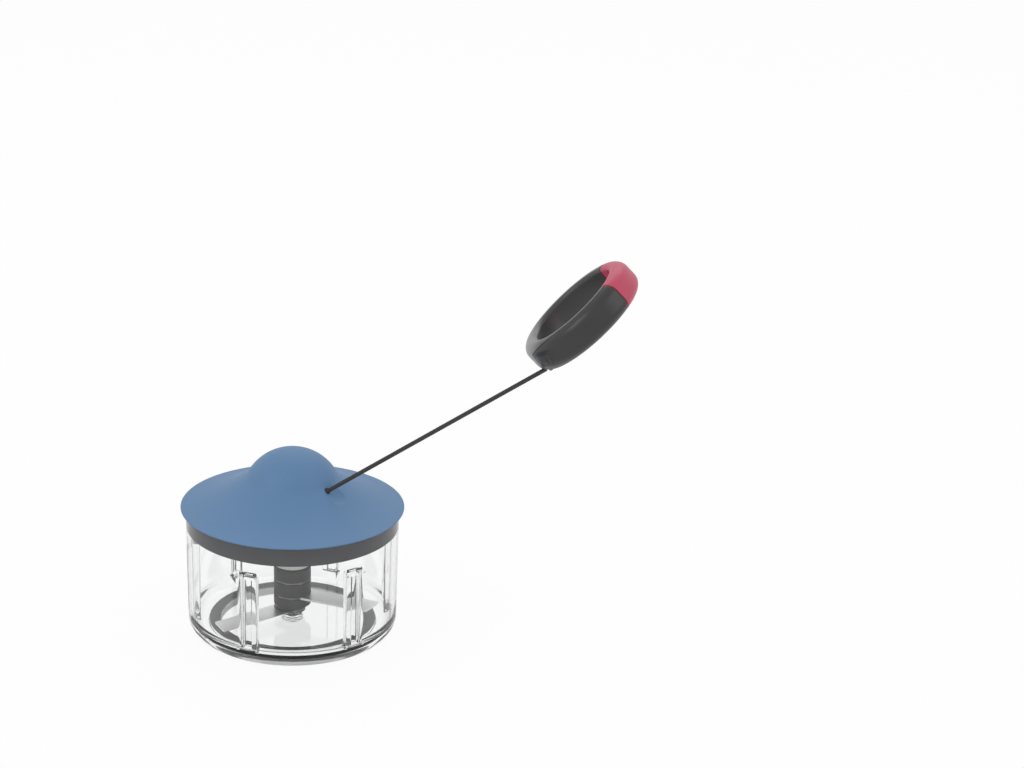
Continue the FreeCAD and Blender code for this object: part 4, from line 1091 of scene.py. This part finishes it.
def make_tower(azimuth):
    """A tower with a blind screw hole, whose top ends inside the brim's wall."""
    top = brim_height(TOWER_CIRCLE)
    tower = lathe("tower", [(0, TOWER_HOLE), (SCREW, TOWER_HOLE), (SCREW, TOWER_FOOT), (TOWER, TOWER_FOOT),
                            (TOWER, top), (TOWER / 2, top), (0, top)], TOWER_COLUMNS)
    for vertex in tower.data.vertices:
        vertex.co.xy += Vector((math.cos(azimuth), math.sin(azimuth))) * TOWER_CIRCLE * MM
        if vertex.co.z > (TOWER_HOLE + top) / 2 * MM:
            vertex.co.z = (brim_height(vertex.co.xy.length / MM) - LID_WALL / 2) * MM
    return tower


# %% The dish and the outlet
DISH_RADIUS, DISH_AZIMUTH, DISH_REACH, DISH_DEPTH = 30.6, math.radians(-39.6), 5.8, 1.7
OUTLET_HOLE, HOLE_REACH = 1.95 * MM, 8 * MM
dish_centre = Vector((DISH_RADIUS * math.cos(DISH_AZIMUTH), DISH_RADIUS * math.sin(DISH_AZIMUTH))) * MM


def press_dish(piece):
    """Lower the points near the outlet into a shallow round dish."""
    for vertex in piece.data.vertices:
        away = (vertex.co.xy - dish_centre).length / (DISH_REACH * MM)
        if away < 1:
            vertex.co.z -= DISH_DEPTH * MM * (1 - away ** 2)


LID_COLUMNS, LID_SHARP = 384, 24
lid_shell = lathe("lid_shell", lid_profile(), LID_COLUMNS)
press_dish(lid_shell)
combine(lid_shell, "DIFFERENCE",
        rod(outlet - cord_line * HOLE_REACH, outlet + cord_line * HOLE_REACH, OUTLET_HOLE))
combine(lid_shell, "UNION", *[make_tower(math.radians(azimuth)) for azimuth in TOWER_AZIMUTHS])
sharpened(lid_shell, LID_SHARP)
finish_with(lid_shell, lid_plastic, "lid", "lid_blue", "lid_cover")

# %% [markdown]
# A short bush lines the hole, with a little clearance. It stays just under the surface, so all that shows of
# it is a dark rim.

# %% The outlet's bush
BUSH_BORE, BUSH_LENGTH, BUSH_SUNK = 1.5 * MM, 3.4 * MM, 0.5 * MM
BUSH_FILL, BUSH_SIDES, BUSH_ARC = 0.96, 48, 8


def make_bush():
    """A tube on the cord's line with rounded ends."""
    wall, middle = (OUTLET_HOLE - BUSH_BORE) / 2, (OUTLET_HOLE + BUSH_BORE) / 2
    section = [(middle + wall * math.cos(turn) * BUSH_FILL,
                end * (BUSH_LENGTH / 2 - wall) + wall * math.sin(turn))
               for end, start in ((1, 0), (-1, math.pi)) for turn in spaced(start, start + math.pi, BUSH_ARC)]
    points = []
    for radius, along in section:
        place = outlet + cord_line * (along - BUSH_LENGTH / 2 - BUSH_SUNK)
        points += tube_row(place, cord_across, cord_upward, radius, radius, BUSH_SIDES)
    return new_mesh("outlet_bush", points, grid_faces(len(section), BUSH_SIDES, True, True))


finish_with(make_bush(), hub_plastic, "lid", "hub_grey", "cord_eyelet")

# %% [markdown]
# ## The collar's sleeve
# The collar plugs the bowl's mouth with a soft sleeve, seal included, that presses against the clear wall.
# Where it touches, no air is left between them, and the grey then shows across the bowl's full width. Over an
# air gap the wall's inner face mirrors at the low angles near both sides, and a clear strip shows there. So
# the sleeve reaches a fiftieth of a millimetre into the wall.

# %% The collar's sleeve
SLEEVE_PRESS, SLEEVE_INNER, SLEEVE_FOOT, SLEEVE_TOP = 0.02, 56.6, 62.3, 73.4
SLEEVE_LIP_HEIGHT, SLEEVE_LIP_TAPER, SLEEVE_STEPS = 1.2, 0.5, 8


def sleeve_profile():
    """A thin closed section that follows the bowl's inner wall."""
    outer = [(wall_radius(z) - BOWL_WALL + SLEEVE_PRESS, z)
             for z in spaced(SLEEVE_FOOT, SLEEVE_TOP - SLEEVE_LIP_HEIGHT, SLEEVE_STEPS)]
    top = [(outer[-1][0] - SLEEVE_LIP_TAPER, SLEEVE_TOP), (SLEEVE_INNER, SLEEVE_TOP)]
    return rounded(outer + top + [(SLEEVE_INNER, SLEEVE_FOOT)],
                   {0: 0.3, SLEEVE_STEPS: 0.5, SLEEVE_STEPS + 1: 0.2})


sleeve = lathe("collar_sleeve", sleeve_profile(), closed=True)
sharpened(sleeve)
finish_with(sleeve, collar_plastic, "lid", "collar_grey", "lid_seal")

# %% [markdown]
# ## The foot ring
# A soft ring under the bowl keeps it from sliding. It is moulded in two shots: a pale foot, and a dark band
# round its top. The bowl's round corner is a strong lens. From a little above, nearly four millimetres of
# its height show less than one millimetre of the ring, so the band looks several times as wide as it is.

# %% The foot ring
FOOT_INNER, FOOT_OUTER, FOOT_SHOULDER, FOOT_STEP, FOOT_TOP = 40.8, 45.8, 47.2, 2.8, 5.2
BAND_FOOT, BAND_BLEND, PALE_GREY = 4.6 * MM, 0.1 * MM, (0.78, 0.78, 0.785)
foot_profile = rounded([(FOOT_INNER, FOOT_TOP), (FOOT_INNER, 0), (FOOT_OUTER, 0), (FOOT_OUTER, FOOT_STEP),
                        (FOOT_SHOULDER, FOOT_STEP), (FOOT_SHOULDER, FOOT_TOP)],
                       {1: 0.6, 2: 0.6, 3: 0.4, 4: 0.4})
foot_rubber = moulded("foot_rubber", (0.06, 0.06, 0.062), 0.7)
blend_by_place(foot_rubber, PALE_GREY, Vector(), Vector((0, 0, -1)), -BAND_FOOT, BAND_BLEND - BAND_FOOT)
foot_shell = lathe("foot_shell", foot_profile, closed=True)
sharpened(foot_shell)
finish_with(foot_shell, foot_rubber, "bowl", "soft_grey", "foot_ring")

# %% [markdown]
# ## Steel
# The blades are rolled stainless steel with a ground edge. Rolling leaves fine lines that stretch a highlight
# across them, and noise drawn out one way stands for these. Round the axis each blade is clamped between the
# hub's rings. The hub's dark colour is laid over it there, so that no bright line parts the rings.

# %% Steel finish
LINE_SHADE, SMOOTH_SHARE, ROUGH_SHARE = 0.93, 0.8, 1.25


def steel_material(name, colour, roughness, stretch):
    """Steel with fine drawn lines."""
    material, shader = new_material(name, Metallic=1.0, IOR=2.5)
    lines = noise(material, 0.4 * MM, stretch)
    connect(material, blend_colour(material, lines, tuple(c * LINE_SHADE for c in colour), colour),
            shader.inputs["Base Color"],
            spread(material, lines, roughness * SMOOTH_SHARE, roughness * ROUGH_SHARE),
            shader.inputs["Roughness"])
    return material


def cover_root(material, radius, colour):
    """Colour a blade as plastic where it is nearer to the axis than a radius."""
    shader = material.node_tree.nodes["Principled BSDF"]
    steel_colour = shader.inputs["Base Color"].links[0].from_socket
    place = add_node(material, "ShaderNodeTexCoord")
    flat = add_node(material, "ShaderNodeVectorMath", operation="MULTIPLY")
    flat.inputs[1].default_value = (1, 1, 0)
    away = add_node(material, "ShaderNodeVectorMath", operation="LENGTH")
    steel_shows = add_node(material, "ShaderNodeMath", operation="GREATER_THAN")
    steel_shows.inputs[1].default_value = radius
    plastic, steel, result = colour_mix(material, steel_shows.outputs[0])
    plastic.default_value = (*colour, 1)
    connect(material, place.outputs["Object"], flat.inputs[0], flat.outputs[0], away.inputs[0],
            away.outputs["Value"], steel_shows.inputs[0], steel_colour, steel,
            steel_shows.outputs[0], shader.inputs["Metallic"], result, shader.inputs["Base Color"])


HUB_RADIUS = 10.6 * MM
blade_steel = steel_material("blade_steel", (0.78, 0.78, 0.77), 0.36, (0.1, 1, 1))
cover_root(blade_steel, HUB_RADIUS, HUB_GREY)
pin_steel = steel_material("pin_steel", (0.58, 0.58, 0.57), 0.2, (1, 1, 0.1))
paint(blade_steel, "blade_lower", "blade_middle", "blade_upper")
paint(pin_steel, "spindle_pin", "axle_post", "lid_screws", "recoil_spring")

# %% [markdown]
# ## Floor, backdrop and light
# A pale floor and soft lamps, as in a small studio. The camera sees the floor and the world behind it nearly
# white, also through the clear bowl, and the floor keeps a faint trace of the object's shadow. Three large
# lamps give the round forms a bright side.

# %% The floor
FLOOR_HALF, FLOOR_WHITENESS, SKY_LEVEL = 7.0, 0.93, 0.86


def seen_straight(owner):
    """1 for rays from the camera or through clear plastic, and 0 for all others."""
    path = add_node(owner, "ShaderNodeLightPath")
    either = add_node(owner, "ShaderNodeMath", operation="MAXIMUM")
    connect(owner, path.outputs["Is Camera Ray"], either.inputs[0],
            path.outputs["Is Transmission Ray"], either.inputs[1])
    return either.outputs[0]


corners = [(-1, -1), (1, -1), (1, 1), (-1, 1)]
floor_mesh = bpy.data.meshes.new("floor")
floor_mesh.from_pydata([(x * FLOOR_HALF, y * FLOOR_HALF, 0) for x, y in corners], [], [(0, 1, 2, 3)])
floor = bpy.data.objects.new("floor", floor_mesh)
bpy.context.scene.collection.objects.link(floor)
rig.stage(floor)

floor_white, floor_shader = new_material("floor_white", Base_Color=(0.86, 0.86, 0.86, 1), Roughness=0.9)
floor_glow = add_node(floor_white, "ShaderNodeEmission")
floor_mix = add_node(floor_white, "ShaderNodeMixShader")
connect(floor_white, spread(floor_white, seen_straight(floor_white), 0, FLOOR_WHITENESS), floor_mix.inputs[0],
        floor_shader.outputs[0], floor_mix.inputs[1], floor_glow.outputs[0], floor_mix.inputs[2],
        floor_mix.outputs[0], floor_white.node_tree.nodes["Material Output"].inputs["Surface"])
floor_mesh.materials.append(floor_white)
print("floor:", 2 * FLOOR_HALF, "m wide")

# %% World and lamps
world = bpy.data.worlds.new("studio")
bpy.context.scene.world = world
world.use_nodes = True
sky = world.node_tree.nodes["Background"]
sky.inputs["Color"].default_value = (1, 1, 1, 1)
connect(world, spread(world, seen_straight(world), SKY_LEVEL, 1.0), sky.inputs["Strength"])


def softbox(name, place, aim, width, height, watts):
    """A rectangular lamp that faces a point."""
    lamp = bpy.data.lights.new(name, "AREA")
    lamp.shape = "RECTANGLE"
    lamp.size, lamp.size_y = width, height
    lamp.energy = watts
    piece = bpy.data.objects.new(name, lamp)
    piece.location = place
    piece.rotation_euler = (Vector(place) - Vector(aim)).to_track_quat("Z", "Y").to_euler()
    bpy.context.scene.collection.objects.link(piece)


CENTRE = (0.05, 0, 0.08)
softbox("lamp_left", (-1.1, -0.7, 1.1), CENTRE, 0.9, 0.9, 4)
softbox("lamp_right", (1.2, -0.5, 0.9), CENTRE, 0.7, 0.9, 1.5)
softbox("lamp_back", (0.2, 1.2, 1.2), CENTRE, 1.2, 0.6, 2.5)
bpy.context.scene.view_settings.view_transform = "Standard"
print("lamps:", [lamp.name for lamp in bpy.data.lights])

# %% [markdown]
# ## Sizes
# The box of the CAD model and the box of the dressed part are written side by side. They should agree
# closely, because finishes and finer pieces may not change how large the object is.

# %% Sizes and finish
json.dump({"cad": [list(v) for v in cad_box], "visual": [list(v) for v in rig.bounds()]},
          open("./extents.json", "w"))
print("size:", open("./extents.json").read())
